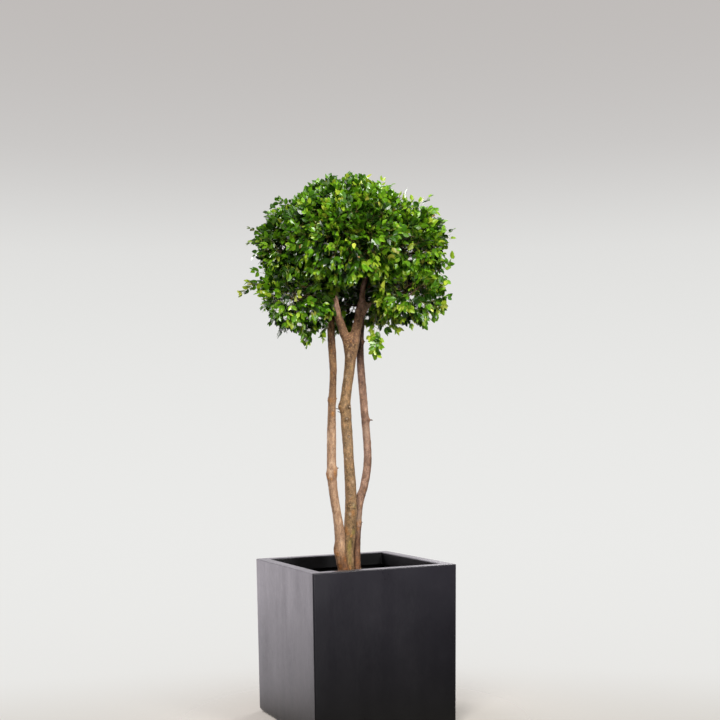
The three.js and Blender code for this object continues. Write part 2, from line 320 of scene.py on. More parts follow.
# Sprays that stand out of the head or hang from it: [tip across, deep, height,
# lean across, deep, up, length].
SPRAYS = [
    [-68, -12, 1799, -0.1, 0.0, 1.0, 70],
    [-52, 6, 1800, 0.5, 0.0, 0.8, 55],
    [-121, 0, 1777, -0.3, 0.0, 0.9, 62],
    [62, -4, 1796, 0.3, 0.0, 1.0, 56],
    [123, 0, 1789, 0.35, 0.0, 0.9, 66],
    [147, 4, 1770, 0.9, 0.0, 0.5, 60],
    [-236, -2, 1730, -0.6, 0.0, 0.7, 58],
    [-284, -6, 1678, -0.9, 0.0, 0.35, 66],
    [156, -6, 1748, 0.2, 0.0, 1.0, 58],
    [176, 6, 1741, 0.2, 0.1, 1.0, 58],
    [194, -10, 1736, 0.3, 0.0, 0.9, 58],
    [216, 2, 1726, 0.4, 0.0, 0.9, 58],
    [242, -8, 1716, 0.5, 0.0, 0.8, 56],
    [281, -4, 1688, 0.6, 0.0, 0.7, 60],
    [298, -10, 1684, 0.9, 0.1, 0.4, 58],
    [357, -6, 1612, 0.9, 0.0, 0.45, 66],
    [352, 10, 1578, 1.0, 0.1, -0.1, 54],
    [-343, -12, 1618, -0.95, 0.0, 0.2, 60],
    [-345, -20, 1576, -0.9, -0.1, -0.2, 58],
    [-374, -18, 1410, -0.95, 0.0, -0.35, 84],
    [-345, -24, 1440, -0.9, 0.0, 0.1, 66],
    [-330, -8, 1424, -0.8, -0.2, -0.5, 60],
    [-149, -38, 1216, -0.1, 0.0, -1.0, 70],
    [-140, -42, 1228, 0.35, 0.0, -0.9, 52],
    [-158, -34, 1232, -0.5, 0.0, -0.8, 50],
    [-90, -50, 1240, 0.25, 0.3, -1.0, 44],
    [-100, -48, 1252, -0.5, 0.0, -0.8, 46],
    [88, -46, 1182, 0.1, 0.0, -1.0, 92],
    [74, -48, 1196, -0.3, 0.0, -0.95, 70],
    [102, -44, 1212, 0.5, 0.0, -0.85, 60],
    [70, -40, 1238, -0.4, 0.0, -0.8, 50],
    [318, -14, 1350, 0.8, 0.0, -0.4, 60],
    [254, -22, 1310, 0.5, 0.0, -0.8, 54],
    [150, -36, 1262, 0.2, 0.0, -1.0, 54],
    [134, -40, 1266, -0.3, 0.0, -1.0, 52],
    [170, -34, 1274, 0.4, 0.0, -0.9, 50],
    [60, -42, 1244, -0.3, 0.0, -0.9, 50],
    [66, -40, 1268, -0.5, 0.0, -0.7, 46],
    [-11, 112, 1274, 0.0, 0.0, -1.0, 60],
    [6, 92, 1290, 0.3, 0.0, -1.0, 52],
    [-28, 104, 1288, -0.4, 0.0, -0.9, 52],
    [-76, -66, 1312, 0.25, -0.2, -1.0, 56],
    [-60, -72, 1322, 0.5, -0.2, -0.9, 50],
    [-97, -60, 1306, -0.2, -0.1, -1.0, 54],
    [-66, -52, 1306, 0.1, -0.1, -1.0, 56],
    [-72, -80, 1336, 0.1, -0.3, -0.8, 52],
    [-58, -62, 1346, 0.2, -0.4, -0.8, 50],
    [-88, -84, 1352, 0.3, -0.5, -0.6, 54],
    [-44, -96, 1388, 0.3, -0.4, -0.8, 52],
    [-64, -100, 1404, -0.2, -0.5, -0.7, 52],
    [98, -80, 1372, -0.3, -0.3, -0.8, 56],
    [94, -70, 1330, -0.2, -0.2, -1.0, 50],
    [24, -110, 1440, -0.1, -0.4, -0.9, 52],
    [82, -110, 1440, 0.1, -0.4, -0.9, 52],
]

# Hollows in the face of the head, and the places where it is open to the sky low
# down: [across, deep, height, half-width across, deep, half-height].
HOLLOWS = [
    [42, -305, 1517, 30, 60, 20],
    [-60, -292, 1482, 27, 60, 18],
    [-203, -160, 1484, 26, 60, 16],
    [-186, -182, 1420, 26, 55, 18],
    [120, -170, 1440, 24, 60, 14],
    [198, -172, 1430, 20, 50, 14],
    [-14, -300, 1461, 16, 50, 14],
]
SKY = [
    [-219, 1319, 6.1, 5],
    [-172, 1298, 6.6, 5],
    [-131, 1342, 3.3, 3.3],
    [-102, 1318, 3.9, 2.8],
    [-150, 1316, 2.8, 2.2],
    [-195, 1340, 2.8, 2.8],
    [-247, 1344, 3.3, 2.8],
    [56, 1316, 4.4, 4.4],
    [86, 1277, 6.1, 7.2],
    [-20, 1310, 2.8, 2.8],
    [3, 1301, 2.2, 2.2],
    [177, 1325, 3.9, 3.3],
    [148, 1365, 2.8, 2.8],
    [163, 1289, 5, 3.3],
    [245, 1357, 3.9, 5],
    [270, 1322, 3.9, 2.8],
    [208, 1300, 4.4, 2.8],
    [125, 1410, 2.2, 2.2],
    [-24, 1379, 2.2, 3.3],
]
# Where the limbs stand open in front: corners [across, height].
WINDOW = [
    [-78, 1180],
    [-78, 1250],
    [-72, 1296],
    [-40, 1302],
    [-50, 1378],
    [-14, 1378],
    [26, 1418],
    [36, 1452],
    [66, 1452],
    [60, 1398],
    [68, 1376],
    [68, 1350],
    [66, 1300],
    [46, 1256],
    [46, 1180],
]


# --------------------------------------------------------------------- helpers
def world(p):
    """Plant frame in millimetres to the row frame in metres."""
    p = np.asarray(p, float)
    c, s = math.cos(TURN), math.sin(TURN)
    out = np.empty_like(p)
    out[..., 0] = (p[..., 0] * c - p[..., 1] * s) / 1000
    out[..., 1] = (p[..., 0] * s + p[..., 1] * c) / 1000
    out[..., 2] = p[..., 2] / 1000
    return out


def unit(v):
    v = np.asarray(v, float)
    return v / np.maximum(np.linalg.norm(v, axis=-1, keepdims=True), 1e-9)


def lattice(i, j, k, seed):
    h = (
        i.astype(np.uint32) * np.uint32(374761393)
        + j.astype(np.uint32) * np.uint32(668265263)
        + k.astype(np.uint32) * np.uint32(2246822519)
        + np.uint32((seed * 2654435761) & 0xFFFFFFFF)
    )
    h ^= h >> np.uint32(13)
    h *= np.uint32(1274126177)
    h ^= h >> np.uint32(16)
    return h.astype(float) / 2147483647.5 - 1


def noise(p, seed=0):
    """Smooth noise from -1 to 1 over points."""
    p = np.asarray(p, float)
    f = np.floor(p)
    t = p - f
    t = t * t * t * (t * (t * 6 - 15) + 10)
    i, j, k = (f[..., n].astype(np.int64) for n in range(3))
    out = 0
    for di in (0, 1):
        wi = t[..., 0] if di else 1 - t[..., 0]
        for dj in (0, 1):
            wj = t[..., 1] if dj else 1 - t[..., 1]
            for dk in (0, 1):
                wk = t[..., 2] if dk else 1 - t[..., 2]
                out = out + wi * wj * wk * lattice(i + di, j + dj, k + dk, seed)
    return out


def layered(p, seed=0, octaves=3):
    out, size, total = 0, 1.0, 0.0
    p = np.asarray(p, float)
    for n in range(octaves):
        out = out + size * noise(p * 2.03**n + 17.3 * n, seed + n * 7)
        total += size
        size *= 0.5
    return out / total


def along(table, z):
    """The value at height z of a table of [height, value], eased between rows."""
    table = np.asarray(table, float)
    z = np.clip(np.asarray(z, float), table[0, 0], table[-1, 0])
    i = np.clip(np.searchsorted(table[:, 0], z, side="left") - 1, 0, len(table) - 2)
    t = (z - table[i, 0]) / (table[i + 1, 0] - table[i, 0])
    t = t * t * (3 - 2 * t)
    return table[i, 1] + (table[i + 1, 1] - table[i, 1]) * t


def curve_through(knees, per=48):
    """Centripetal Catmull-Rom through the knees, as closely spaced points."""
    k = np.asarray(knees, float)
    k = np.vstack([2 * k[0] - k[1], k, 2 * k[-1] - k[-2]])
    out = []
    t = np.linspace(0, 1, per, endpoint=False)[:, None]
    for i in range(1, len(k) - 2):
        p0, p1, p2, p3 = k[i - 1 : i + 3]
        d0, d1, d2 = (
            max(np.linalg.norm(b - a) ** 0.5, 1e-4)
            for a, b in ((p0, p1), (p1, p2), (p2, p3))
        )
        t1 = ((p1 - p0) / d0 - (p2 - p0) / (d0 + d1) + (p2 - p1) / d1) * d1
        t2 = ((p2 - p1) / d1 - (p3 - p1) / (d1 + d2) + (p3 - p2) / d2) * d1
        out.append(
            p1
            + t1 * t
            + (-3 * p1 + 3 * p2 - 2 * t1 - t2) * t**2
            + (2 * p1 - 2 * p2 + t1 + t2) * t**3
        )
    out.append(k[-2][None])
    return np.vstack(out)


def evenly(points, step):
    """The same line with points every step, and their tangents."""
    d = np.concatenate(
        [[0], np.cumsum(np.linalg.norm(np.diff(points, axis=0), axis=1))]
    )
    n = max(3, int(round(d[-1] / step)))
    s = np.linspace(0, d[-1], n + 1)
    p = np.stack([np.interp(s, d, points[:, c]) for c in range(3)], axis=1)
    t = unit(np.gradient(p, axis=0))
    return p, t


def mesh_from(name, verts, faces, smooth=True):
    """A mesh object from vertices in metres and faces, an array of one width or a list of such arrays."""
    groups = faces if isinstance(faces, list) else [faces]
    groups = [np.asarray(g, np.int32) for g in groups if len(g)]
    mesh = bpy.data.meshes.new(name)
    mesh.vertices.add(len(verts))
    mesh.vertices.foreach_set("co", np.asarray(verts, np.float32).ravel())
    loops = np.concatenate([g.ravel() for g in groups])
    sizes = np.concatenate([np.full(len(g), g.shape[1], np.int32) for g in groups])
    starts = np.concatenate([[0], np.cumsum(sizes)[:-1]]).astype(np.int32)
    mesh.loops.add(len(loops))
    mesh.loops.foreach_set("vertex_index", loops)
    mesh.polygons.add(len(sizes))
    mesh.polygons.foreach_set("loop_start", starts)
    mesh.polygons.foreach_set("use_smooth", np.full(len(sizes), smooth, bool))
    mesh.update(calc_edges=True)
    mesh.validate()
    o = bpy.data.objects.new(name, mesh)
    bpy.context.scene.collection.objects.link(o)
    return o


def ring_faces(rows, sides, start=0):
    """Quads between successive closed rings of points."""
    i = np.arange(rows - 1)[:, None] * sides
    j = np.arange(sides)[None]
    k = (j + 1) % sides
    q = np.stack(
        [i + j, i + k, i + k + sides, i + j + sides], axis=-1
    ).reshape(-1, 4)
    return q + start


def fan(centre, ring, flip=False):
    ring = np.asarray(ring)
    nxt = np.roll(ring, -1)
    c = np.full(len(ring), centre)
    return np.stack([c, nxt, ring] if flip else [c, ring, nxt], axis=1)


class Heap:
    """Vertices and faces gathered from many small shapes."""

    def __init__(self):
        self.verts, self.quads, self.tris, self.n = [], [], [], 0
        self.quad_mat, self.tri_mat = [], []

    def add(self, verts, quads=None, tris=None, mat=0):
        if quads is not None and len(quads):
            self.quads.append(np.asarray(quads) + self.n)
            self.quad_mat.append(np.full(len(quads), mat, np.int32))
        if tris is not None and len(tris):
            self.tris.append(np.asarray(tris) + self.n)
            self.tri_mat.append(np.full(len(tris), mat, np.int32))
        self.verts.append(np.asarray(verts, float))
        self.n += len(verts)

    def build(self, name, smooth=True):
        groups = [np.concatenate(g) for g in (self.quads, self.tris) if g]
        o = mesh_from(name, np.concatenate(self.verts), groups, smooth)
        mats = [np.concatenate(g) for g in (self.quad_mat, self.tri_mat) if g]
        o.data.polygons.foreach_set("material_index", np.concatenate(mats))
        return o


def tube(heap, pts, radii, sides, mat=0, cap_end=True, cap_start=False):
    """A tube along points, in the units of the points, given to the heap."""
    pts = np.asarray(pts, float)
    radii = np.broadcast_to(np.asarray(radii, float), (len(pts),))
    t = unit(np.gradient(pts, axis=0))
    side = np.array([1.0, 0, 0]) if abs(t[0][0]) < 0.9 else np.array([0, 1.0, 0])
    e = np.empty_like(pts)
    u = unit(side - t[0] * (side @ t[0]))
    for i in range(len(pts)):
        u = u - t[i] * (u @ t[i])
        u = u / max(np.linalg.norm(u), 1e-9)
        e[i] = u
    f = np.cross(t, e)
    a = np.arange(sides) / sides * 2 * np.pi
    v = (
        pts[:, None]
        + radii[:, None, None]
        * (
            np.cos(a)[None, :, None] * e[:, None]
            + np.sin(a)[None, :, None] * f[:, None]
        )
    ).reshape(-1, 3)
    quads = ring_faces(len(pts), sides)
    tris = []
    extra = []
    if cap_end:
        extra.append(pts[-1] + t[-1] * radii[-1] * 0.6)
        tris.append(fan(len(v), (len(pts) - 1) * sides + np.arange(sides)))
    if cap_start:
        extra.append(pts[0] - t[0] * radii[0] * 0.6)
        tris.append(fan(len(v) + len(extra) - 1, np.arange(sides), flip=True))
    if extra:
        v = np.vstack([v, extra])
    heap.add(v, quads, np.concatenate(tris) if tris else None, mat)


# ---------------------------------------------------------------- shader nodes
class Nodes:
    """A small helper for building a material's nodes."""

    def __init__(self, name):
        self.mat = bpy.data.materials.new(name)
        self.mat.use_nodes = True
        self.t = self.mat.node_tree
        self.t.nodes.clear()
        self.out = self.t.nodes.new("ShaderNodeOutputMaterial")
        self.bsdf = self.t.nodes.new("ShaderNodeBsdfPrincipled")
        self.link(self.bsdf.outputs[0], self.out.inputs[0])

    def link(self, a, b):
        self.t.links.new(a, b)

    def new(self, kind, **settings):
        n = self.t.nodes.new(kind)
        for k, v in settings.items():
            setattr(n, k, v)
        return n

    def place(self, scale=(1, 1, 1)):
        c = self.new("ShaderNodeTexCoord")
        m = self.new("ShaderNodeMapping")
        m.inputs["Scale"].default_value = scale
        self.link(c.outputs["Object"], m.inputs[0])
        return m.outputs[0]

    def noise(self, scale, size, detail=4.0, rough=0.55, warp=0.0):
        n = self.new("ShaderNodeTexNoise")
        self.link(self.place(scale), n.inputs["Vector"])
        n.inputs["Scale"].default_value = size
        n.inputs["Detail"].default_value = detail
        n.inputs["Roughness"].default_value = rough
        n.inputs["Distortion"].default_value = warp
        return n.outputs[0]

    def ramp(self, value, stops, smooth=False):
        r = self.new("ShaderNodeValToRGB")
        r.color_ramp.interpolation = "EASE" if smooth else "LINEAR"
        els = r.color_ramp.elements
        els[0].position, els[0].color = stops[0][0], full(stops[0][1])
        els[1].position, els[1].color = stops[-1][0], full(stops[-1][1])
        for at, c in stops[1:-1]:
            e = els.new(at)
            e.color = full(c)
        self.link(value, r.inputs[0])
        return r.outputs[0]

    def span(self, value, a, b, low=0.0, high=1.0):
        m = self.new("ShaderNodeMapRange")
        m.inputs[1].default_value = a
        m.inputs[2].default_value = b
        m.inputs[3].default_value = low
        m.inputs[4].default_value = high
        self.link(value, m.inputs[0])
        return m.outputs[0]

    def mix(self, share, a, b, kind="MIX"):
        m = self.new("ShaderNodeMix", data_type="RGBA", blend_type=kind)
        if isinstance(share, (int, float)):
            m.inputs[0].default_value = share
        else:
            self.link(share, m.inputs[0])
        for value, socket in ((a, m.inputs[6]), (b, m.inputs[7])):
            if isinstance(value, tuple):
                socket.default_value = full(value)
            else:
                self.link(value, socket)
        return m.outputs[2]

    def maths(self, kind, a, b=None):
        m = self.new("ShaderNodeMath", operation=kind)
        for value, socket in ((a, m.inputs[0]), (b, m.inputs[1])):
            if value is None:
                continue
            if isinstance(value, (int, float)):
                socket.default_value = value
            else:
                self.link(value, socket)
        return m.outputs[0]

    def bump(self, height, distance, strength=1.0, normal=None):
        b = self.new("ShaderNodeBump")
        b.inputs["Strength"].default_value = strength
        b.inputs["Distance"].default_value = distance
        self.link(height, b.inputs["Height"])
        if normal is not None:
            self.link(normal, b.inputs["Normal"])
        return b.outputs[0]

    def marks(self, name):
        """A mark stored on the mesh, as its red, green and blue."""
        a = self.new("ShaderNodeAttribute", attribute_name=name)
        s = self.new("ShaderNodeSeparateColor")
        self.link(a.outputs["Color"], s.inputs[0])
        return s.outputs[0], s.outputs[1], s.outputs[2], a.outputs["Alpha"]


def full(c):
    return tuple(c) + (1.0,) * (4 - len(c))


def from_hex(h):
    """A colour as shown on a screen, as the linear values that shaders take."""
    c = [int(h[i : i + 2], 16) / 255 for i in (0, 2, 4)]
    return tuple(x / 12.92 if x <= 0.04045 else ((x + 0.055) / 1.055) ** 2.4 for x in c)


def bark(name, dark, mid, light, above=None, spots=0.5, blotch=1.0):
    """Bark: a mottled ground with fine patches, streaks, pale specks and breathing
    pores, and the marks that the mesh carries: scabs, moss, pale cut wood, cracks."""
    n = Nodes(name)
    broad = n.noise((1, 1, 0.5), 42, 6, 0.68, 0.5)
    ground = n.ramp(broad, [(0.34, dark), (0.50, mid), (0.66, light)], True)
    rise, wet, pale_and_lit, _ = n.marks("Course")
    if above:
        higher = n.ramp(broad, [(0.34, above[0]), (0.50, above[1]), (0.68, above[2])], True)
        ground = n.mix(rise, ground, higher)
    # Pale young bark, partly its own colour and partly painted light: it is set lighter to stand in for light
    # on the shaded boughs.
    young = n.ramp(
        broad,
        [(0.34, from_hex("94705c")), (0.50, from_hex("b6907c")), (0.66, from_hex("cfab98"))],
        True,
    )
    ground = n.mix(pale_and_lit, ground, young)
    patch = n.noise((1, 1, 0.62), 135, 6, 0.72, 0.2)
    ground = n.mix(
        n.span(patch, 0.49, 0.38, 0.0, 0.85 * blotch),
        ground,
        n.mix(1.0, ground, (0.42, 0.36, 0.31), "MULTIPLY"),
    )
    ground = n.mix(
        n.span(patch, 0.525, 0.63, 0.0, 0.75 * blotch),
        ground,
        n.mix(1.0, ground, (1.55, 1.48, 1.36), "MULTIPLY"),
    )
    streak = n.noise((1, 1, 0.10), 230, 4, 0.6, 0.3)
    ground = n.mix(
        n.span(streak, 0.42, 0.68, 0.0, 0.45),
        ground,
        n.mix(1.0, ground, (0.52, 0.48, 0.45), "MULTIPLY"),
    )
    grain = n.noise((1, 1, 0.6), 520, 5, 0.75)
    ground = n.mix(
        n.span(grain, 0.52, 0.68, 0.0, 0.6),
        ground,
        n.mix(1.0, ground, (2.0, 1.86, 1.62), "MULTIPLY"),
    )
    ground = n.mix(
        n.span(grain, 0.46, 0.34, 0.0, 0.6),
        ground,
        n.mix(1.0, ground, (0.42, 0.38, 0.34), "MULTIPLY"),
    )
    pores = n.new("ShaderNodeTexVoronoi")
    pores.inputs["Scale"].default_value = 1.0
    pores.inputs["Randomness"].default_value = 1.0
    n.link(n.place((150, 150, 210)), pores.inputs["Vector"])
    pore = n.span(pores.outputs["Distance"], 0.36, 0.20, 0.0, 1.0)
    ground = n.mix(
        n.maths("MULTIPLY", pore, spots), ground, n.mix(0.55, light, from_hex("d2a868"))
    )
    scab, moss, cut, crack = n.marks("Marks")
    flecks = n.noise((1, 1, 1), 260, 6, 0.8)
    scabby = n.ramp(
        flecks,
        [(0.38, from_hex("5a3519")), (0.5, from_hex("96622f")), (0.63, from_hex("c8955a"))],
    )
    ground = n.mix(
        n.maths("MULTIPLY", scab, n.span(flecks, 0.30, 0.44)), ground, scabby
    )
    mossy = n.mix(n.span(flecks, 0.4, 0.64), from_hex("6b5f2a"), from_hex("9c8f42"))
    ground = n.mix(n.maths("MULTIPLY", moss, n.span(grain, 0.36, 0.54)), ground, mossy)
    ground = n.mix(
        cut, ground, n.mix(n.span(grain, 0.35, 0.65), from_hex("a98c70"), from_hex("dccab2"))
    )
    ground = n.mix(crack, ground, from_hex("2a1c14"))
    rust = n.mix(n.span(flecks, 0.36, 0.62), (0.26, 0.20, 0.145), (0.84, 0.64, 0.43))
    ground = n.mix(wet, ground, n.mix(1.0, ground, rust, "MULTIPLY"))
    n.link(ground, n.bsdf.inputs["Base Color"])
    n.link(n.span(grain, 0.3, 0.75, 0.62, 0.9), n.bsdf.inputs["Roughness"])
    n.bsdf.inputs["Specular IOR Level"].default_value = 0.3
    ridges = n.bump(streak, 0.0012, 0.6)
    rough = n.bump(patch, 0.0022, 0.55, ridges)
    fine = n.bump(grain, 0.0009, 0.6, rough)
    warts = n.bump(pore, 0.0006, 0.6, fine)
    n.link(n.bump(n.maths("MULTIPLY", flecks, scab), 0.002, 0.8, warts), n.bsdf.inputs["Normal"])
    return n.mat


def plain(name, colour, roughness, specular=0.5, coat=0.0, coat_roughness=0.2, sheen=0.0):
    """A plain base colour, with its gloss set on the shader itself."""
    n = Nodes(name)
    n.bsdf.inputs["Base Color"].default_value = full(colour)
    n.bsdf.inputs["Roughness"].default_value = roughness
    n.bsdf.inputs["Specular IOR Level"].default_value = specular
    n.bsdf.inputs["Coat Weight"].default_value = coat
    n.bsdf.inputs["Coat Roughness"].default_value = coat_roughness
    return n.mat


# ---------------------------------------------------------------------- planter
def square_ring(half, z, radius, corner=10, side=22, guard=2.0):
    """A square ring with rounded corners and points along its sides."""
    out = []
    straight = half - radius
    t = np.linspace(-1, 1, side + 1)
    t = np.concatenate([[-1], t * (1 - guard / straight), [1]])[1:-1]
    for c in range(4):
        a = np.linspace(c * np.pi / 2, (c + 1) * np.pi / 2, corner + 1)
        sx, sy = [(1, 1), (-1, 1), (-1, -1), (1, -1)][c]
        out.append(
            np.stack(
                [
                    sx * straight + radius * np.cos(a),
                    sy * straight + radius * np.sin(a),
                ],
                axis=1,
            )
        )
        along_side = t * straight
        if c == 0:
            line = np.stack([-along_side, np.full(len(t), half)], 1)
        elif c == 1:
            line = np.stack([np.full(len(t), -half), -along_side], 1)
        elif c == 2:
            line = np.stack([along_side, np.full(len(t), -half)], 1)
        else:
            line = np.stack([np.full(len(t), half), along_side], 1)
        out.append(line)
    p = np.concatenate(out)
    return np.column_stack([p, np.full(len(p), z)])


def planter():
    def outside(z):
        return (POT_BOTTOM + (POT_TOP - POT_BOTTOM) * z / POT_HEIGHT) / 2

    rings = [square_ring(150, 0.6, 40), square_ring(215, 0.0, 10)]
    for a in np.linspace(0, np.pi / 2, 9):
        z = FOOT_R * (1 - math.cos(a))
        rings.append(
            square_ring(
                outside(z) - FOOT_R * (1 - math.sin(a)),
                z,
                CORNER_R + 4 * (1 - math.sin(a)),
            )
        )
    for z in [16.0, *np.linspace(26, POT_HEIGHT - 10, 34), POT_HEIGHT - EDGE_R - 1.5]:
        rings.append(square_ring(outside(z), z, CORNER_R))
    for a in np.linspace(0, np.pi / 2, 7):
        z = POT_HEIGHT - EDGE_R * (1 - math.sin(a))
        rings.append(
            square_ring(outside(z) - EDGE_R * (1 - math.cos(a)), z, CORNER_R)
        )
    mouth = POT_TOP / 2 - RIM_WIDTH
    for w in (EDGE_R + 1.5, 12, 20, RIM_WIDTH - EDGE_R - 1.5):
        rings.append(square_ring(POT_TOP / 2 - w, POT_HEIGHT, CORNER_R - 0.05 * w))
    for a in np.linspace(0, np.pi / 2, 7):
        z = POT_HEIGHT - EDGE_R * (1 - math.cos(a))
        rings.append(square_ring(mouth + EDGE_R * (1 - math.sin(a)), z, 6))
    under = POT_HEIGHT - RIM_DEPTH
    for z in (POT_HEIGHT - EDGE_R - 1.5, POT_HEIGHT - 20, under + 1.5, under):
        rings.append(square_ring(mouth, z, 6))
    rings.append(square_ring(mouth + 2, under - 0.2, 6))
    rings.append(square_ring(outside(under) - WALL, under - 3, 6))
    for z in (under - 5, 300, 150, POT_FLOOR + 2, POT_FLOOR):
        rings.append(square_ring(outside(z) - WALL, z, 6))
    rings.append(square_ring(120, POT_FLOOR, 30))
    v = np.concatenate(rings)
    sides = len(rings[0])
    # Moulded by hand: the walls are a quarter of a millimetre out of true.
    wave = 0.28 * layered(v / 95, 3, 2) + 0.05 * layered(v / 14, 9, 2)
    flat = unit(np.column_stack([v[:, 0], v[:, 1], np.zeros(len(v))]))
    square = np.zeros_like(flat)
    widest = np.abs(v[:, 0]) > np.abs(v[:, 1])
    square[widest, 0] = np.sign(v[widest, 0])
    square[~widest, 1] = np.sign(v[~widest, 1])
    inner = np.arange(len(v)) >= sides * (len(rings) - 8)
    v = v + np.where(inner[:, None], 0, square * wave[:, None])
    foot = np.array([[0, 0, 0.6], [0, 0, POT_FLOOR]])
    n = len(v)
    heap = Heap()
    heap.add(
        np.vstack([v, foot]) / 1000,
        ring_faces(len(rings), sides),
        np.concatenate(
            [
                fan(n, np.arange(sides), flip=True),
                fan(n + 1, (len(rings) - 1) * sides + np.arange(sides)),
            ]
        ),
    )
    o = heap.build("planter_shell")
    # The inside below the rim's edge takes a near-black finish of its own, painted shade.
    row = np.arange(len(o.data.polygons)) // sides
    o.data.polygons.foreach_set(
        "material_index", (row >= len(rings) - 13).astype(np.int32)
    )
    return o


def pot_finish():
    """Satin fibre clay: nearly even in its own colour, with broad upright streaks and fine grain that show in
    its sheen.
    Its colour is painted lighter and mauve towards the top and much darker towards the foot, as painted light
    and shade, and its edges are paler, partly rubbed wear and partly a painted highlight."""
    n = Nodes("pot_finish")
    cloud = n.noise((1, 1, 1), 5.5, 5, 0.6, 0.2)
    base = n.ramp(
        cloud,
        [(0.25, (0.0070, 0.0068, 0.0082)), (0.5, (0.0085, 0.0083, 0.0100)), (0.8, (0.0110, 0.0106, 0.0125))],
        True,
    )
    grain = n.noise((1, 1, 1), 700, 5, 0.75)
    base = n.mix(
        n.span(grain, 0.45, 0.75, 0.0, 0.4),
        base,
        n.mix(1.0, base, (1.6, 1.6, 1.6), "MULTIPLY"),
    )
    # Painted light and shade: the colour is painted lighter and mauve towards the top and darker towards the
    # foot, standing in for the sheen and shade that the lamps give.
    height = n.new("ShaderNodeSeparateXYZ")
    n.link(n.place(), height.inputs[0])
    painted_light_by_height = n.span(height.outputs["Z"], 0.03, 0.49)
    base = n.mix(painted_light_by_height, n.mix(1.0, base, (0.08, 0.08, 0.08), "MULTIPLY"), n.mix(1.0, base, (1.7, 1.62, 1.8), "MULTIPLY"))
    # Paler edges, partly rubbed wear and partly a painted highlight along them.
    edge = n.new("ShaderNodeNewGeometry").outputs["Pointiness"]
    wear_and_highlight = n.maths("MULTIPLY", n.span(edge, 0.515, 0.58), n.span(cloud, 0.3, 0.6, 0.4, 1.0))
    base = n.mix(wear_and_highlight, base, (0.03, 0.028, 0.031))
    n.link(base, n.bsdf.inputs["Base Color"])
    streak = n.noise((1, 1, 0.13), 22, 4, 0.55, 0.3)
    fleck = n.noise((1, 1, 0.35), 160, 5, 0.7)
    rough = n.maths(
        "ADD",
        n.maths("ADD", n.span(streak, 0.3, 0.72, 0.29, 0.37), n.span(fleck, 0.3, 0.7, -0.035, 0.045)),
        n.span(cloud, 0.3, 0.75, -0.02, 0.05),
    )
    rough = n.maths("ADD", rough, n.span(edge, 0.51, 0.56, 0.0, 0.38))
    n.link(rough, n.bsdf.inputs["Roughness"])
    n.link(
        n.span(height.outputs["Z"], 0.03, 0.40, 0.28, 0.34),
        n.bsdf.inputs["Specular IOR Level"],
    )
    n.link(n.bump(grain, 0.0003, 0.4), n.bsdf.inputs["Normal"])
    return n.mat


def pot_inside():
    """The unpolished inside: painted nearly black as painted shade, with a little dust."""
    n = Nodes("pot_inside")
    cloud = n.noise((1, 1, 1), 14, 5, 0.65, 0.2)
    base = n.ramp(cloud, [(0.3, (0.0012, 0.0012, 0.0016)), (0.75, (0.0030, 0.0029, 0.0036))])
    n.link(base, n.bsdf.inputs["Base Color"])
    n.link(n.span(cloud, 0.3, 0.7, 0.52, 0.68), n.bsdf.inputs["Roughness"])
    n.bsdf.inputs["Specular IOR Level"].default_value = 0.16
    return n.mat


def compost_mix():
    n = Nodes("compost_mix")
    lumps = n.noise((1, 1, 1), 120, 6, 0.7)
    base = n.ramp(
        lumps,
        [(0.3, (0.006, 0.0045, 0.0035)), (0.5, (0.017, 0.011, 0.0075)), (0.72, (0.042, 0.027, 0.018))],
    )
    bits = n.new("ShaderNodeTexVoronoi")
    bits.inputs["Scale"].default_value = 1
    n.link(n.place((260, 260, 260)), bits.inputs["Vector"])
    base = n.mix(
        n.span(bits.outputs["Distance"], 0.22, 0.08, 0.0, 0.4), base, (0.075, 0.046, 0.026)
    )
    n.link(base, n.bsdf.inputs["Base Color"])
    n.link(n.span(lumps, 0.3, 0.7, 0.8, 0.97), n.bsdf.inputs["Roughness"])
    n.bsdf.inputs["Specular IOR Level"].default_value = 0.2
    n.link(n.bump(lumps, 0.003, 0.8), n.bsdf.inputs["Normal"])
    return n.mat


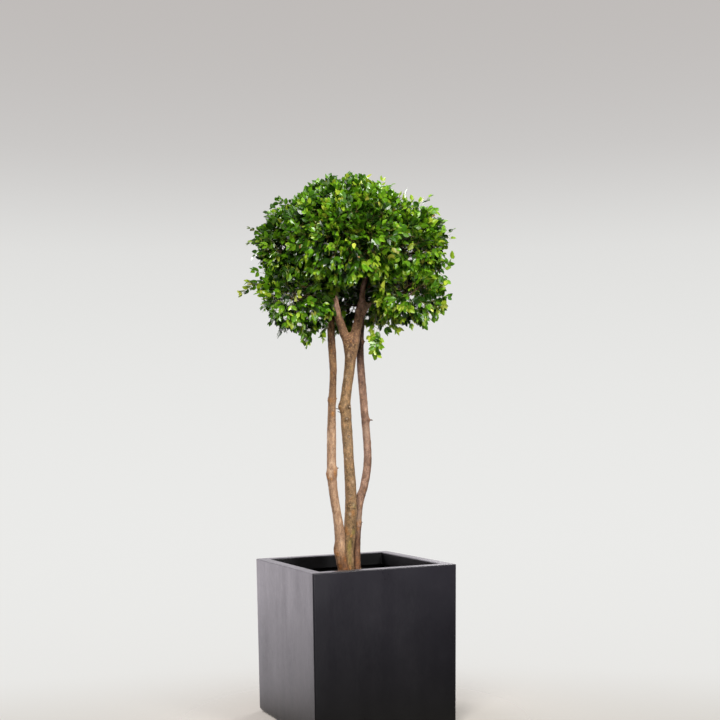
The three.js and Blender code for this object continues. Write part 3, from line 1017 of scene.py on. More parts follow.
def compost():
    """Potting mix: an uneven bed with crumbs and small chips of bark on it."""
    rng = np.random.default_rng(77)
    inside = (POT_BOTTOM + (POT_TOP - POT_BOTTOM) * 442 / POT_HEIGHT) / 2 - WALL - 1
    m = 118
    g = np.linspace(-inside, inside, m)
    x, y = np.meshgrid(g, g, indexing="ij")
    flat = np.stack([x, y, np.zeros_like(x)], -1)
    z = (
        SOIL_LEVEL
        - 1.5
        + 2.2 * layered(flat / 60, 4, 2)
        + 1.5 * layered(flat / 11, 8, 3)
        - 4.0 * np.clip((np.maximum(abs(x), abs(y)) - inside + 14) / 14, 0, 1) ** 2
    )
    z += 3.0 * np.exp(-((x + 8) ** 2 + (y - 8) ** 2) / 42**2)
    top = np.stack([x, y, z], -1).reshape(-1, 3)
    i, j = np.meshgrid(np.arange(m - 1), np.arange(m - 1), indexing="ij")
    a = (i * m + j).ravel()
    quads = np.stack([a, a + m, a + m + 1, a + 1], 1)
    edge = np.concatenate(
        [
            np.arange(m) * m,
            (m - 1) * m + np.arange(1, m),
            (np.arange(m - 2, -1, -1)) * m + m - 1,
            np.arange(m - 2, 0, -1),
        ]
    )
    low = top[edge].copy()
    low[:, 2] = POT_FLOOR + 0.4
    low[:, :2] *= (inside - 6) / inside
    n0 = len(top)
    k = np.arange(len(edge))
    nk = (k + 1) % len(edge)
    skirt = np.stack([edge[k], n0 + k, n0 + nk, edge[nk]], 1)
    heap = Heap()
    verts = np.vstack([top, low, [[0, 0, POT_FLOOR + 0.4]]])
    heap.add(verts / 1000, np.concatenate([quads, skirt]), fan(len(verts) - 1, n0 + k))
    # Crumbs: small uneven lumps and flat chips.
    phi = (1 + 5**0.5) / 2
    ico = unit(
        np.array(
            [
                [-1, phi, 0], [1, phi, 0], [-1, -phi, 0], [1, -phi, 0],
                [0, -1, phi], [0, 1, phi], [0, -1, -phi], [0, 1, -phi],
                [phi, 0, -1], [phi, 0, 1], [-phi, 0, -1], [-phi, 0, 1],
            ]
        )
    )
    ico_f = np.array(
        [
            [0, 11, 5], [0, 5, 1], [0, 1, 7], [0, 7, 10], [0, 10, 11],
            [1, 5, 9], [5, 11, 4], [11, 10, 2], [10, 7, 6], [7, 1, 8],
            [3, 9, 4], [3, 4, 2], [3, 2, 6], [3, 6, 8], [3, 8, 9],
            [4, 9, 5], [2, 4, 11], [6, 2, 10], [8, 6, 7], [9, 8, 1],
        ]
    )
    for n in range(1500):
        chip = n % 4 == 0
        at = rng.uniform(-inside + 8, inside - 8, 2)
        size = rng.uniform(1.6, 4.2) * (1.8 if chip else 1.0)
        v = ico * rng.uniform(0.65, 1.25, (12, 1)) * size
        v[:, 2] *= 0.35 if chip else 0.8
        v[:, 0] *= 1.6 if chip else 1.0
        turn = rng.uniform(0, 2 * np.pi)
        tilt = rng.normal(0, 0.35)
        r = np.array(Matrix.Rotation(turn, 3, "Z") @ Matrix.Rotation(tilt, 3, "X"))
        v = v @ r.T
        gi = np.clip(
            np.round((at + inside) / (2 * inside) * (m - 1)).astype(int), 0, m - 1
        )
        v += [at[0], at[1], z[gi[0], gi[1]] + size * 0.1]
        heap.add(v / 1000, None, ico_f, mat=1 if n % 5 == 0 else 0)
    return heap.build("compost_bed", smooth=False)


# ------------------------------------------------------------------------ limbs
def limb_line(spec, step):
    return evenly(curve_through(spec["knees"]), step)


def swell(spec, p, a, z):
    """How far the skin stands from the centre line at angle a and height z."""
    r = along(spec["girth"], z) / 2
    r = r * (1 + 0.025 * np.sin(2 * a + z / 61) + 0.02 * np.sin(3 * a - z / 37))
    if "flare" in spec:
        f = spec["flare"]
        low = np.exp(-np.maximum(0, z - SOIL_LEVEL) / f["reach"])
        r = r * (1 + f["gain"] * low * (1 + 0.5 * np.cos(f["lobes"] * a + f["turn"])))
    return r + bumps_of(spec, a, z)


def bumps_of(spec, a, z):
    r = 0
    for k in spec["knots"]:
        near = np.exp(-(((z - k["z"]) / k["reach"]) ** 2))
        around = (
            1
            if "side" not in k
            else np.maximum(0, np.cos(a - math.radians(k["side"]))) ** 2
        )
        r = r + k["rise"] * near * around
    return r


def relief(spec, p, a, z):
    """The bark's own relief in millimetres at points p of the skin."""
    s = spec["seed"]
    long = p * [1, 1, 0.16]
    out = 0.75 * layered(p / 17, s, 3)
    out = out + 0.45 * layered(p * [1, 1, 0.5] / 6.5, s + 2, 2)
    out = out + 0.34 * layered(long / 3.4, s + 3, 3)
    out = out + 0.2 * layered(p / 2.6, s + 9, 2)
    pores = noise(p / [2.3, 2.3, 1.3], s + 21)
    out = out + 0.3 * np.clip(pores - 0.42, 0, 1) * 1.7
    if "rough_foot" in spec:
        low = np.exp(-np.maximum(0, z - SOIL_LEVEL - 20) / 55)
        out = out + spec["rough_foot"] * low * (
            0.8 * layered(long / 6, s + 31, 3) + 0.5 * layered(p / 4, s + 37, 2)
        )
    for k in spec["knots"]:
        near = np.exp(-(((z - k["z"]) / (k["reach"] * 1.1)) ** 2))
        around = (
            0.8
            if "side" not in k
            else np.maximum(0, np.cos(a - math.radians(k["side"]))) ** 2
        )
        out = out + 1.0 * near * around * layered(p / 4.2, s + 43, 3)
    return out


# Marks on the bark: [limb, height, side it faces in degrees, half-height, half-width
# round the limb in millimetres, kind, strength].
MARKS = [
    ["stem_left", 800, 200, 9, 7, "scab", 1.0],
    ["stem_left", 786, 225, 8, 6, "scab", 1.0],
    ["stem_left", 798, 310, 13, 5, "scab", 0.75],
    ["stem_left", 790, 250, 5, 5, "cut", 0.45],
    ["stem_left", 806, 190, 4, 4, "crack", 0.8],
    ["stem_left", 780, 262, 5, 4, "scab", 0.8],
    ["stem_left", 812, 350, 7, 6, "scab", 0.6],
    ["stem_left", 1040, 240, 8, 14, "scab", 0.45],
    ["stem_left", 1046, 350, 8, 7, "scab", 0.5],
    ["stem_left", 1050, 200, 4, 8, "crack", 0.5],
    ["stem_left", 995, 285, 9, 6, "scab", 0.85],
    ["stem_left", 1010, 200, 5, 5, "scab", 0.5],
    ["stem_left", 952, 310, 4, 3, "crack", 0.5],
    ["stem_left", 902, 230, 3, 3, "crack", 0.45],
    ["stem_left", 868, 282, 5, 3, "cut", 0.35],
    ["stem_left", 720, 300, 4, 3, "crack", 0.4],
    ["stem_left", 660, 240, 5, 4, "cut", 0.3],
    ["stem_left", 548, 195, 14, 8, "scab", 0.8],
    ["stem_left", 536, 235, 7, 6, "scab", 0.8],
    ["stem_left", 515, 320, 10, 8, "scab", 0.7],
    ["stem_left", 498, 240, 14, 9, "scab", 0.8],
    ["stem_left", 476, 300, 12, 9, "scab", 0.95],
    ["stem_left", 466, 250, 8, 12, "scab", 0.8],
    ["stem_left", 556, 196, 7, 8, "crack", 0.55],
    ["stem_left", 520, 262, 8, 4, "crack", 0.5],
    ["stem_left", 1130, 250, 5, 4, "scab", 0.5],
    ["stem_left", 1206, 262, 5, 4, "scab", 0.5],
    ["stem_left", 1170, 300, 6, 3, "crack", 0.4],
    ["stem_left", 1092, 260, 4, 4, "crack", 0.35],
    ["stem_middle", 668, 290, 12, 7, "scab", 0.6],
    ["stem_middle", 694, 300, 6, 5, "cut", 0.25],
    ["stem_middle", 664, 262, 5, 5, "cut", 0.5],
    ["stem_middle", 690, 306, 8, 6, "moss", 0.55],
    ["stem_middle", 722, 262, 4, 5, "cut", 0.3],
    ["stem_middle", 716, 272, 6, 4, "scab", 0.35],
    ["stem_middle", 682, 300, 2.2, 9, "crack", 0.75],
    ["stem_middle", 700, 240, 3, 6, "crack", 0.35],
    ["stem_middle", 612, 232, 12, 7, "scab", 0.75],
    ["stem_middle", 600, 258, 7, 5, "scab", 0.6],
    ["stem_middle", 604, 310, 10, 7, "moss", 0.75],
    ["stem_middle", 592, 290, 6, 5, "scab", 0.8],
    ["stem_middle", 556, 284, 30, 8, "moss", 0.75],
    ["stem_middle", 520, 292, 22, 7, "moss", 0.5],
    ["stem_middle", 480, 280, 20, 12, "scab", 0.6],
    ["stem_middle", 570, 306, 5, 3.5, "crack", 0.8],
    ["stem_middle", 584, 286, 3.5, 4, "crack", 0.7],
    ["stem_middle", 630, 250, 10, 9, "crack", 0.25],
    ["stem_middle", 1021, 302, 5.5, 5.5, "crack", 0.8],
    ["stem_middle", 1017, 304, 3.6, 3.4, "cut", 1.0],
    ["stem_middle", 981, 276, 4.5, 4.5, "crack", 0.7],
    ["stem_middle", 979, 277, 2.6, 2.6, "cut", 1.0],
    ["stem_middle", 921, 285, 4.5, 5.0, "crack", 0.7],
    ["stem_middle", 918, 286, 3.0, 3.0, "cut", 0.9],
    ["stem_middle", 1012, 200, 12, 9, "scab", 0.45],
    ["stem_middle", 1028, 210, 4, 8, "crack", 0.5],
    ["stem_middle", 1236, 270, 7, 3, "scab", 0.4],
    ["stem_middle", 1190, 250, 7, 4, "cut", 0.35],
    ["stem_middle", 1150, 290, 8, 5, "moss", 0.35],
    ["stem_middle", 1120, 240, 6, 5, "cut", 0.3],
    ["stem_middle", 1080, 285, 8, 5, "scab", 0.3],
    ["stem_middle", 846, 240, 4, 3, "cut", 0.7],
    ["stem_middle", 874, 300, 6, 4, "crack", 0.3],
    ["stem_middle", 800, 250, 8, 5, "crack", 0.25],
    ["stem_middle", 770, 300, 5, 5, "cut", 0.35],
    ["stem_right", 630, 250, 9, 7, "scab", 1.0],
    ["stem_right", 636, 300, 8, 6, "scab", 0.9],
    ["stem_right", 630, 326, 3, 3.5, "crack", 1.0],
    ["stem_right", 614, 270, 7, 7, "scab", 0.7],
    ["stem_right", 540, 330, 8, 5, "scab", 0.8],
    ["stem_right", 566, 232, 50, 5, "crack", 0.45],
    ["stem_right", 556, 340, 24, 4, "crack", 0.4],
    ["stem_right", 500, 290, 20, 8, "scab", 0.4],
    ["stem_right", 724, 190, 8, 7, "scab", 0.5],
    ["stem_right", 742, 300, 4, 4, "scab", 0.5],
    ["stem_right", 690, 300, 8, 4, "scab", 0.35],
    ["stem_right", 974, 350, 8, 6, "scab", 0.45],
    ["stem_right", 1240, 330, 7, 5, "scab", 0.3],
    ["stem_right", 1000, 260, 6, 4, "crack", 0.35],
    # The five broad, faint marks below that face the front are lighter and darker patches of tone along the
    # stems, not cut wood or cracks.
    ["stem_right", 655, 270, 26, 18, "cut", 0.24],
    ["stem_right", 847, 270, 30, 18, "crack", 0.15],
    ["stem_right", 935, 270, 26, 18, "cut", 0.18],
    ["stem_middle", 738, 270, 30, 22, "crack", 0.24],
    ["stem_middle", 900, 270, 40, 22, "cut", 0.08],
    ["stem_left", 508, 215, 20, 8, "crack", 0.55],
    ["stem_left", 496, 262, 26, 12, "crack", 0.34],
    ["stem_left", 468, 285, 10, 16, "crack", 0.5],
    ["stem_left", 482, 262, 12, 7, "crack", 0.45],
    ["stem_right", 900, 290, 6, 3, "cut", 0.3],
    ["stem_right", 862, 250, 5, 3, "crack", 0.4],
    ["stem_right", 1100, 280, 6, 4, "crack", 0.35],
    ["bough_fork_left", 1244, 300, 8, 4, "scab", 0.4],
    ["bough_fork_right", 1246, 230, 8, 4, "scab", 0.5],
    ["bough_fork_right", 1345, 280, 7, 9, "crack", 0.4],
    ["bough_upper", 1392, 270, 12, 8, "scab", 0.3],
    # Painted light: a pale patch on the side bough, set as a cut mark, stands in for light that the shaded
    # bough lacks.
    ["bough_side", 1356, 270, 10, 8, "cut", 0.4],
]


def mark_values(limb, a, z, r):
    out = {"scab": 0, "moss": 0, "cut": 0, "crack": 0}
    for name, mz, side, hz, hw, kind, strength in MARKS:
        if name != limb:
            continue
        turn = np.angle(np.exp(1j * (a - math.radians(side)))) * r
        d = ((z - mz) / hz) ** 2 + (turn / hw) ** 2
        value = strength * np.exp(-(d**1.4))
        out[kind] = np.maximum(out[kind], value)
    return np.stack([out[k] + np.zeros_like(z) for k in ("scab", "moss", "cut", "crack")], -1)


def add_marks(o, marks, course):
    for name, values in (("Marks", marks), ("Course", course)):
        at = o.data.attributes.new(name, "FLOAT_COLOR", "POINT")
        at.data.foreach_set("color", np.asarray(values, np.float32).ravel())


def frames(t):
    x = np.array([1.0, 0, 0])
    e0 = unit(x - t * (t @ x)[:, None])
    return e0, np.cross(t, e0)


def course_values(spec_name, z):
    """How far up the limb's colour has turned, and how dark its foot is."""
    turn, over, foot, fade = {
        "stem_left": (890, 210, 592, 80),
        "stem_middle": (1090, 120, 505, 60),
        "stem_right": (1010, 220, 618, 40),
    }[spec_name]
    rise = np.clip((z - turn) / over, 0, 1)
    rise = rise * rise * (3 - 2 * rise)
    dark = np.clip((foot - z) / fade, 0, 1) * (0.95 if spec_name == "stem_left" else 0.72)
    return np.stack([rise, dark, np.zeros_like(z), np.ones_like(z)], -1)


def lofted_stem(name, sides=64, step=2.8):
    spec = STEMS[name]
    p, t = limb_line(spec, step)
    e0, e1 = frames(t)
    a = np.arange(sides) / sides * 2 * np.pi
    z = np.repeat(p[:, 2:3], sides, 1)
    aa = np.repeat(a[None], len(p), 0)
    r = swell(spec, None, aa, z)
    out = np.cos(aa)[..., None] * e0[:, None] + np.sin(aa)[..., None] * e1[:, None]
    skin = p[:, None] + out * r[..., None]
    r = r + relief(spec, skin, aa, z)
    end = np.linspace(1, 0.55, 12)
    r[-12:] *= end[:, None]
    skin = (p[:, None] + out * r[..., None]).reshape(-1, 3)
    n = len(skin)
    skin = np.vstack([skin, p[0], p[-1] + t[-1] * 5])
    heap = Heap()
    heap.add(
        world(skin),
        ring_faces(len(p), sides),
        np.concatenate(
            [
                fan(n, np.arange(sides), flip=True),
                fan(n + 1, (len(p) - 1) * sides + np.arange(sides)),
            ]
        ),
    )
    marks = mark_values(name, aa.ravel(), z.ravel(), r.ravel())
    marks = np.vstack([marks, np.zeros((2, 4))])
    course = np.vstack([course_values(name, z.ravel()), np.tile([1, 0, 0, 1], (2, 1))])
    return heap, marks, course


def stub(heap, base, way, length, r0, r1, seed, sides=12):
    """A short stub left where a shoot was cut: a collar, and a flat pale end."""
    way = unit(np.array(way, float))
    s = np.linspace(-0.5, 1, 9)
    pts = np.array(base, float) + way * (s * length)[:, None]
    rng = np.random.default_rng(seed)
    pts[3:] += rng.normal(0, 0.25, (6, 3))
    r = np.where(s < 0.1, r0 * (1 + 0.5 * (0.1 - s)), r0 + (r1 - r0) * s)
    n0 = heap.n
    tube(heap, world(pts), r / 1000, sides, 0, cap_end=True)
    added = heap.n - n0
    marks = np.zeros((added, 4))
    marks[-(sides + 1) :, 2] = 0.8 if r0 > 2.3 else 0.0
    marks[:, 3] = 0.25 if r0 > 2.3 else 0.6
    course = np.tile([0.6, 0.15, 0, 1], (added, 1))
    return marks, course


def point_on(name, z, side, out=0.0):
    """A point on a stem's skin at that height and side, and the way out there."""
    spec = STEMS.get(name) or BOUGHS[name]
    p, t = limb_line(spec, 2)
    i = int(np.argmin(abs(p[:, 2] - z)))
    e0, e1 = frames(t[i : i + 1])
    a = math.radians(side)
    way = math.cos(a) * e0[0] + math.sin(a) * e1[0]
    r = float(swell(spec, None, np.array([a]), np.array([p[i, 2]]))[0])
    return p[i] + way * (r + out), way


def grown_stem(name, stubs, roots=()):
    heap, marks, course = lofted_stem(name)
    marks, course = [marks], [course]
    for z, side, length, r0, r1, droop in stubs:
        base, way = point_on(name, z, side, -1.5)
        m, c = stub(heap, base, way + [0, 0, droop], length, r0, r1, int(z))
        marks.append(m)
        course.append(c)
    for z, side, reach, r0, seed in roots:
        base, way = point_on(name, z, side, -2.5)
        rng = np.random.default_rng(seed)
        s = np.linspace(0, 1, 12)
        down = min(0.0, (SOIL_LEVEL - 3 - z) / reach)
        pts = base + way * (s * reach)[:, None] * 0.9
        pts[:, 2] = z + (s**1.5) * (down * reach)
        pts[1:, :2] += np.cumsum(rng.normal(0, 0.9, (11, 2)), axis=0)
        n0 = heap.n
        tube(heap, world(pts), (r0 * (1 - 0.75 * s)) / 1000, 8)
        k = heap.n - n0
        m = np.zeros((k, 4))
        m[:, 0] = 0.75
        m[:, 2] = 0.6 if seed > 3 else 0.0
        marks.append(m)
        course.append(np.tile([0.0, 0.25, 0, 1], (k, 1)))
    o = heap.build(name + "_bark")
    add_marks(o, np.vstack(marks), np.vstack(course))
    return o


def blend_low(values, k):
    """The smallest of several distances, with a rounded join of width k."""
    out = values[0]
    for v in values[1:]:
        h = np.maximum(k - abs(out - v), 0) / k
        out = np.minimum(out, v) - h * h * k * 0.25
    return out


def forked():
    """The middle stem and its boughs as one skin, with rounded crotches, then cut
    at the fork into the stem below and the boughs above."""
    group = {"stem_middle": STEMS["stem_middle"], **BOUGHS}
    heap = Heap()
    lines = {}
    for name, spec in group.items():
        p, t = limb_line(spec, 3.0)
        r = along(spec["girth"], p[:, 2]) / 2
        if "flare" in spec:
            f = spec["flare"]
            r = r * (
                1 + f["gain"] * np.exp(-np.maximum(0, p[:, 2] - SOIL_LEVEL) / f["reach"])
            )
        lines[name] = (p, t, r)
        tube(heap, p / 1000, r / 1000, 28, cap_start=True)
    raw = heap.build("forked_raw")
    voxels = raw.modifiers.new("skin", "REMESH")
    voxels.mode = "VOXEL"
    voxels.voxel_size = 0.0021
    dg = bpy.context.evaluated_depsgraph_get()
    made = bpy.data.meshes.new_from_object(raw.evaluated_get(dg))
    bpy.data.objects.remove(raw)
    v = np.zeros(len(made.vertices) * 3, np.float32)
    made.vertices.foreach_get("co", v)
    v = v.reshape(-1, 3).astype(float) * 1000
    loops = np.zeros(len(made.loops), np.int32)
    made.loops.foreach_get("vertex_index", loops)
    quads = loops.reshape(-1, 4)
    names = list(lines)

    def nearest(points):
        """Distance to each limb's skin, and where along it that is."""
        gaps, where = [], []
        for name in names:
            p, t, r = lines[name]
            best = np.full(len(points), 1e9)
            at = np.zeros(len(points), int)
            for s in range(0, len(points), 20000):
                d = np.linalg.norm(points[s : s + 20000, None] - p[None], axis=2) - r
                at[s : s + 20000] = d.argmin(1)
                best[s : s + 20000] = d.min(1)
            gaps.append(best)
            where.append(at)
        return gaps, where

    def normals(points):
        a, b, c, d = (points[quads[:, i]] for i in range(4))
        f = np.cross(c - a, d - b)
        out = np.zeros_like(points)
        for i in range(4):
            np.add.at(out, quads[:, i], f)
        return unit(out)

    # Settle the skin from its voxels onto the rounded join of the limbs.
    high = v[:, 2] > 1150
    for _ in range(4):
        n = normals(v)
        gaps, where = nearest(v)
        v = v - n * blend_low(gaps, 16.0)[:, None] * 0.9
    n = normals(v)
    gaps, where = nearest(v)
    gaps = np.stack(gaps)
    owner = gaps.argmin(0)
    a = np.zeros(len(v))
    marks = np.zeros((len(v), 4))
    push = np.zeros(len(v))
    for i, name in enumerate(names):
        sel = owner == i
        if not sel.any():
            continue
        spec = group[name]
        p, t, r = lines[name]
        w = where[i][sel]
        e0, e1 = frames(t)
        off = v[sel] - p[w]
        ang = np.arctan2((off * e1[w]).sum(1), (off * e0[w]).sum(1))
        a[sel] = ang
        z = v[sel][:, 2]
        push[sel] += bumps_of(spec, ang, z) + relief(
            {**spec, "knots": spec["knots"]}, v[sel], ang, z
        )
        marks[sel] = mark_values(name, ang, z, r[w])
    # Ripples of bark squeezed up in the crotch.
    crotch = np.exp(-(((v[:, 0] - 2) / 12) ** 2 + ((v[:, 2] - 1236) / 14) ** 2))
    push += 0.9 * crotch * np.sin(v[:, 2] / 1.9 + 2 * noise(v / 9, 61))
    v = v + n * push[:, None]
    rise = np.clip((v[:, 2] - 1090) / 120, 0, 1)
    rise = rise * rise * (3 - 2 * rise)
    foot = np.clip((505 - v[:, 2]) / 45, 0, 1) * 0.6
    # Painted light: high on the boughs the bark turns to the pale young colour, partly its own and partly set
    # lighter to stand in for light.
    pale_and_lit = np.clip((v[:, 2] - 1316) / 48, 0, 1)
    course = np.stack([rise, foot, pale_and_lit, np.ones(len(v))], -1)

    lit = normals(v)
    mid = v[quads].mean(1)
    pieces = []
    upper = mid[:, 2] > FORK_LEVEL
    # The upper and side boughs start where they leave the right-hand fork bough.
    own = np.array([np.bincount(q, minlength=5).argmax() for q in owner[quads]])
    split = {
        "stem_middle": ~upper,
        "bough_fork_left": upper & ((own == 1) | ((own == 0) & (mid[:, 0] < 2))),
        "bough_fork_right": upper & ((own == 2) | ((own == 0) & (mid[:, 0] >= 2))),
        "bough_upper": upper & (own == 3),
        "bough_side": upper & (own == 4),
    }
    for name, faces in split.items():
        used, index = np.unique(quads[faces], return_inverse=True)
        h = Heap()
        h.add(world(v[used]), index.reshape(-1, 4))
        extra_m, extra_c = [marks[used]], [course[used]]
        if name == "stem_middle":
            for z, side, length, r0, r1, droop in (
                (1016, 303, 7.0, 4.0, 3.6, 0.35),
                (978, 276, 4.5, 3.2, 2.8, 0.2),
                (917, 285, 3.2, 2.6, 2.3, 0.2),
                (1014, 186, 11.0, 1.6, 1.1, 0.15),
                (1001, 188, 10.0, 1.5, 1.0, 0.4),
            ):
                base, way = point_on(name, z, side, -1.0)
                m, c = stub(h, base, way + [0, 0, droop], length, r0, r1, int(z))
                extra_m.append(m)
                extra_c.append(c)
        o = h.build(name + "_bark")
        add_marks(o, np.vstack(extra_m), np.vstack(extra_c))
        given = np.zeros((len(o.data.vertices), 3))
        given[: len(used)] = unit(world(lit[used]))
        if h.n > len(used):
            own_lit = np.zeros(h.n * 3, np.float32)
            o.data.vertices.foreach_get("normal", own_lit)
            given[len(used) :] = own_lit.reshape(-1, 3)[len(used) :]
        o.data.normals_split_custom_set_from_vertices(given.tolist())
        pieces.append((name, o))
    bpy.data.meshes.remove(made)
    return pieces


# -------------------------------------------------------------------- the crown
def uneven(d, seed):
    v, size = 0, 1.0
    for k in range(3):
        f = 2.1 * 1.9**k
        s = seed * 1.7 + k * 5.3
        v = v + size * (
            np.sin(f * d[..., 0] + s) * np.sin(f * d[..., 1] + 1.3 * s)
            + np.sin(f * d[..., 2] + 0.7 * s) * np.cos(f * (d[..., 0] - d[..., 1]) + 2.1 * s)
        )
        size *= 0.55
    return v / 1.6


def depth_in(p, spec):
    """How far inside a mass points are, in millimetres, and the way out."""
    best = np.full(len(p), -1e9)
    way = np.zeros_like(p)
    for i, lump in enumerate(spec["lumps"]):
        c, r = np.array(lump[:3], float), np.array(lump[3:], float)
        v = (p - c) / r
        q = np.maximum(np.linalg.norm(v, axis=1), 1e-6)
        d = v / q[:, None]
        k = 1 + spec["uneven"] * uneven(d, spec["seed"] + i * 4)
        depth = (k - q) * np.linalg.norm(d * r, axis=1)
        better = depth > best
        best[better] = depth[better]
        way[better] = unit((p - c) / r**2)[better]
    return best, way


def depth_of(p):
    """How far inside the head points are, the way out, and the mass they lie in."""
    depths, ways = zip(*(depth_in(p, s) for s in MASSES.values()))
    depths = np.stack(depths)
    ways = np.stack(ways)
    i = depths.argmax(0)
    first = (depths > 0).argmax(0)
    owner = np.where((depths > 0).any(0), first, i)
    row = np.arange(len(p))
    # The way out blends over masses that lie nearly as deep.
    w = np.exp((depths - depths.max(0)) / 14)
    way = unit((ways * w[..., None]).sum(0))
    return depths[i, row], way, owner


EYE = np.array([31.0, -3772.0, 914.0])


def seen(p):
    """Where points stand in the plane of the stems, looked at from in front."""
    t = (-EYE[1] / (p[..., 1] - EYE[1]))[..., None]
    return EYE[[0, 2]] + (p[..., [0, 2]] - EYE[[0, 2]]) * t


def within(q, corners):
    """Which flat points lie inside a polygon."""
    inside = np.zeros(q.shape[:-1], bool)
    for (x0, y0), (x1, y1) in zip(corners, corners[1:] + corners[:1]):
        cross = (y0 > q[..., 1]) != (y1 > q[..., 1])
        with np.errstate(divide="ignore", invalid="ignore"):
            x = x0 + (q[..., 1] - y0) * (x1 - x0) / (y1 - y0 if y1 != y0 else 1e-9)
        inside ^= cross & (q[..., 0] < x)
    return inside


def open_at(p, grow=0.0):
    """Which points would close a gap to the sky, or cover the limbs in front."""
    q = seen(p)
    out = within(q, WINDOW) & (p[..., 1] < 0)
    for x, z, a, c in SKY:
        out |= ((q[..., 0] - x) / (a + grow)) ** 2 + ((q[..., 1] - z) / (c + grow)) ** 2 < 1
    return out


def in_any(p, volumes, grow=1.0):
    out = np.zeros(len(p), bool)
    for x, y, z, a, b, c in volumes:
        out |= (
            ((p - [x, y, z]) / (np.array([a, b, c], float) * grow)) ** 2
        ).sum(1) < 1
    return out


def spread(rng, low, high, gap, density=None, tries=60000):
    """Points through the head at depths low to high, no two nearer than gap."""
    lo = np.array([-390.0, -330, 1160])
    hi = np.array([380.0, 350, 1830])
    p = rng.uniform(lo, hi, (tries, 3))
    depth, way, owner = depth_of(p)
    keep = (depth >= low) & (depth <= high)
    if density is not None:
        keep &= rng.random(tries) < density(p, depth)
    p = p[keep]
    cells = {}
    out = []
    for q in p:
        key = (int(q[0] // gap), int(q[1] // gap), int(q[2] // gap))
        clear = True
        for dx in (-1, 0, 1):
            for dy in (-1, 0, 1):
                for dz in (-1, 0, 1):
                    for other in cells.get((key[0] + dx, key[1] + dy, key[2] + dz), ()):
                        if (
                            (q[0] - other[0]) ** 2
                            + (q[1] - other[1]) ** 2
                            + (q[2] - other[2]) ** 2
                        ) < gap * gap:
                            clear = False
                            break
        if clear:
            cells.setdefault(key, []).append(q)
            out.append(q)
    return np.array(out)


class Growth:
    """The tree of boughs and twigs inside the head, as nodes with parents."""

    def __init__(self, size=90000):
        self.pos = np.zeros((size, 3))
        self.way = np.zeros((size, 3))
        self.reach = np.zeros(size)
        self.parent = np.full(size, -1)
        self.level = np.zeros(size, int)
        self.n = 0
        self.paths = []

    def add(self, p, way, parent, level):
        i = self.n
        self.pos[i], self.way[i], self.parent[i], self.level[i] = p, way, parent, level
        if parent >= 0:
            self.reach[i] = self.reach[parent] + np.linalg.norm(p - self.pos[parent])
        self.n += 1
        return i

    def line(self, pts, level, parent=-1):
        ids = [] if parent < 0 else [parent]
        t = unit(np.gradient(pts, axis=0)) if len(pts) > 1 else np.zeros((1, 3))
        for p, w in zip(pts, t):
            parent = self.add(p, w, parent, level)
            ids.append(parent)
        self.paths.append((level, ids))
        return ids

    def attach(self, rng, target, out, level, step, most=None):
        """Grow from the best placed limb to the target, and return its last node."""
        pos, way = self.pos[: self.n], self.way[: self.n]
        d = target - pos
        dist = np.linalg.norm(d, axis=1)
        turn = (d * way).sum(1) / np.maximum(dist, 1e-6)
        cost = dist * (1.55 - 0.55 * turn) + 0.10 * self.reach[: self.n]
        cost = np.where((dist < 5) | (turn < -0.15), 1e9, cost)
        if most is not None:
            cost = np.where(self.level[: self.n] > most, 1e9, cost)
        i = int(cost.argmin())
        if cost[i] > 1e8:
            i = int(np.where(dist > 5, dist, 1e9).argmin())
        L = dist[i]
        go = d[i] / L
        t0 = unit(way[i] * 0.45 + go) * L
        t1 = unit(out * 0.55 + go * 0.8) * L
        n = max(2, int(round(L / step)))
        s = np.linspace(0, 1, n + 1)[1:, None]
        h = (
            (2 * s**3 - 3 * s**2 + 1) * pos[i]
            + (s**3 - 2 * s**2 + s) * t0
            + (-2 * s**3 + 3 * s**2) * target
            + (s**3 - s**2) * t1
        )
        if n > 2:
            h[:-1] += rng.normal(0, 0.028 * step, (n - 1, 3)) * 2.2
        return self.line(h, level, i)[-1]


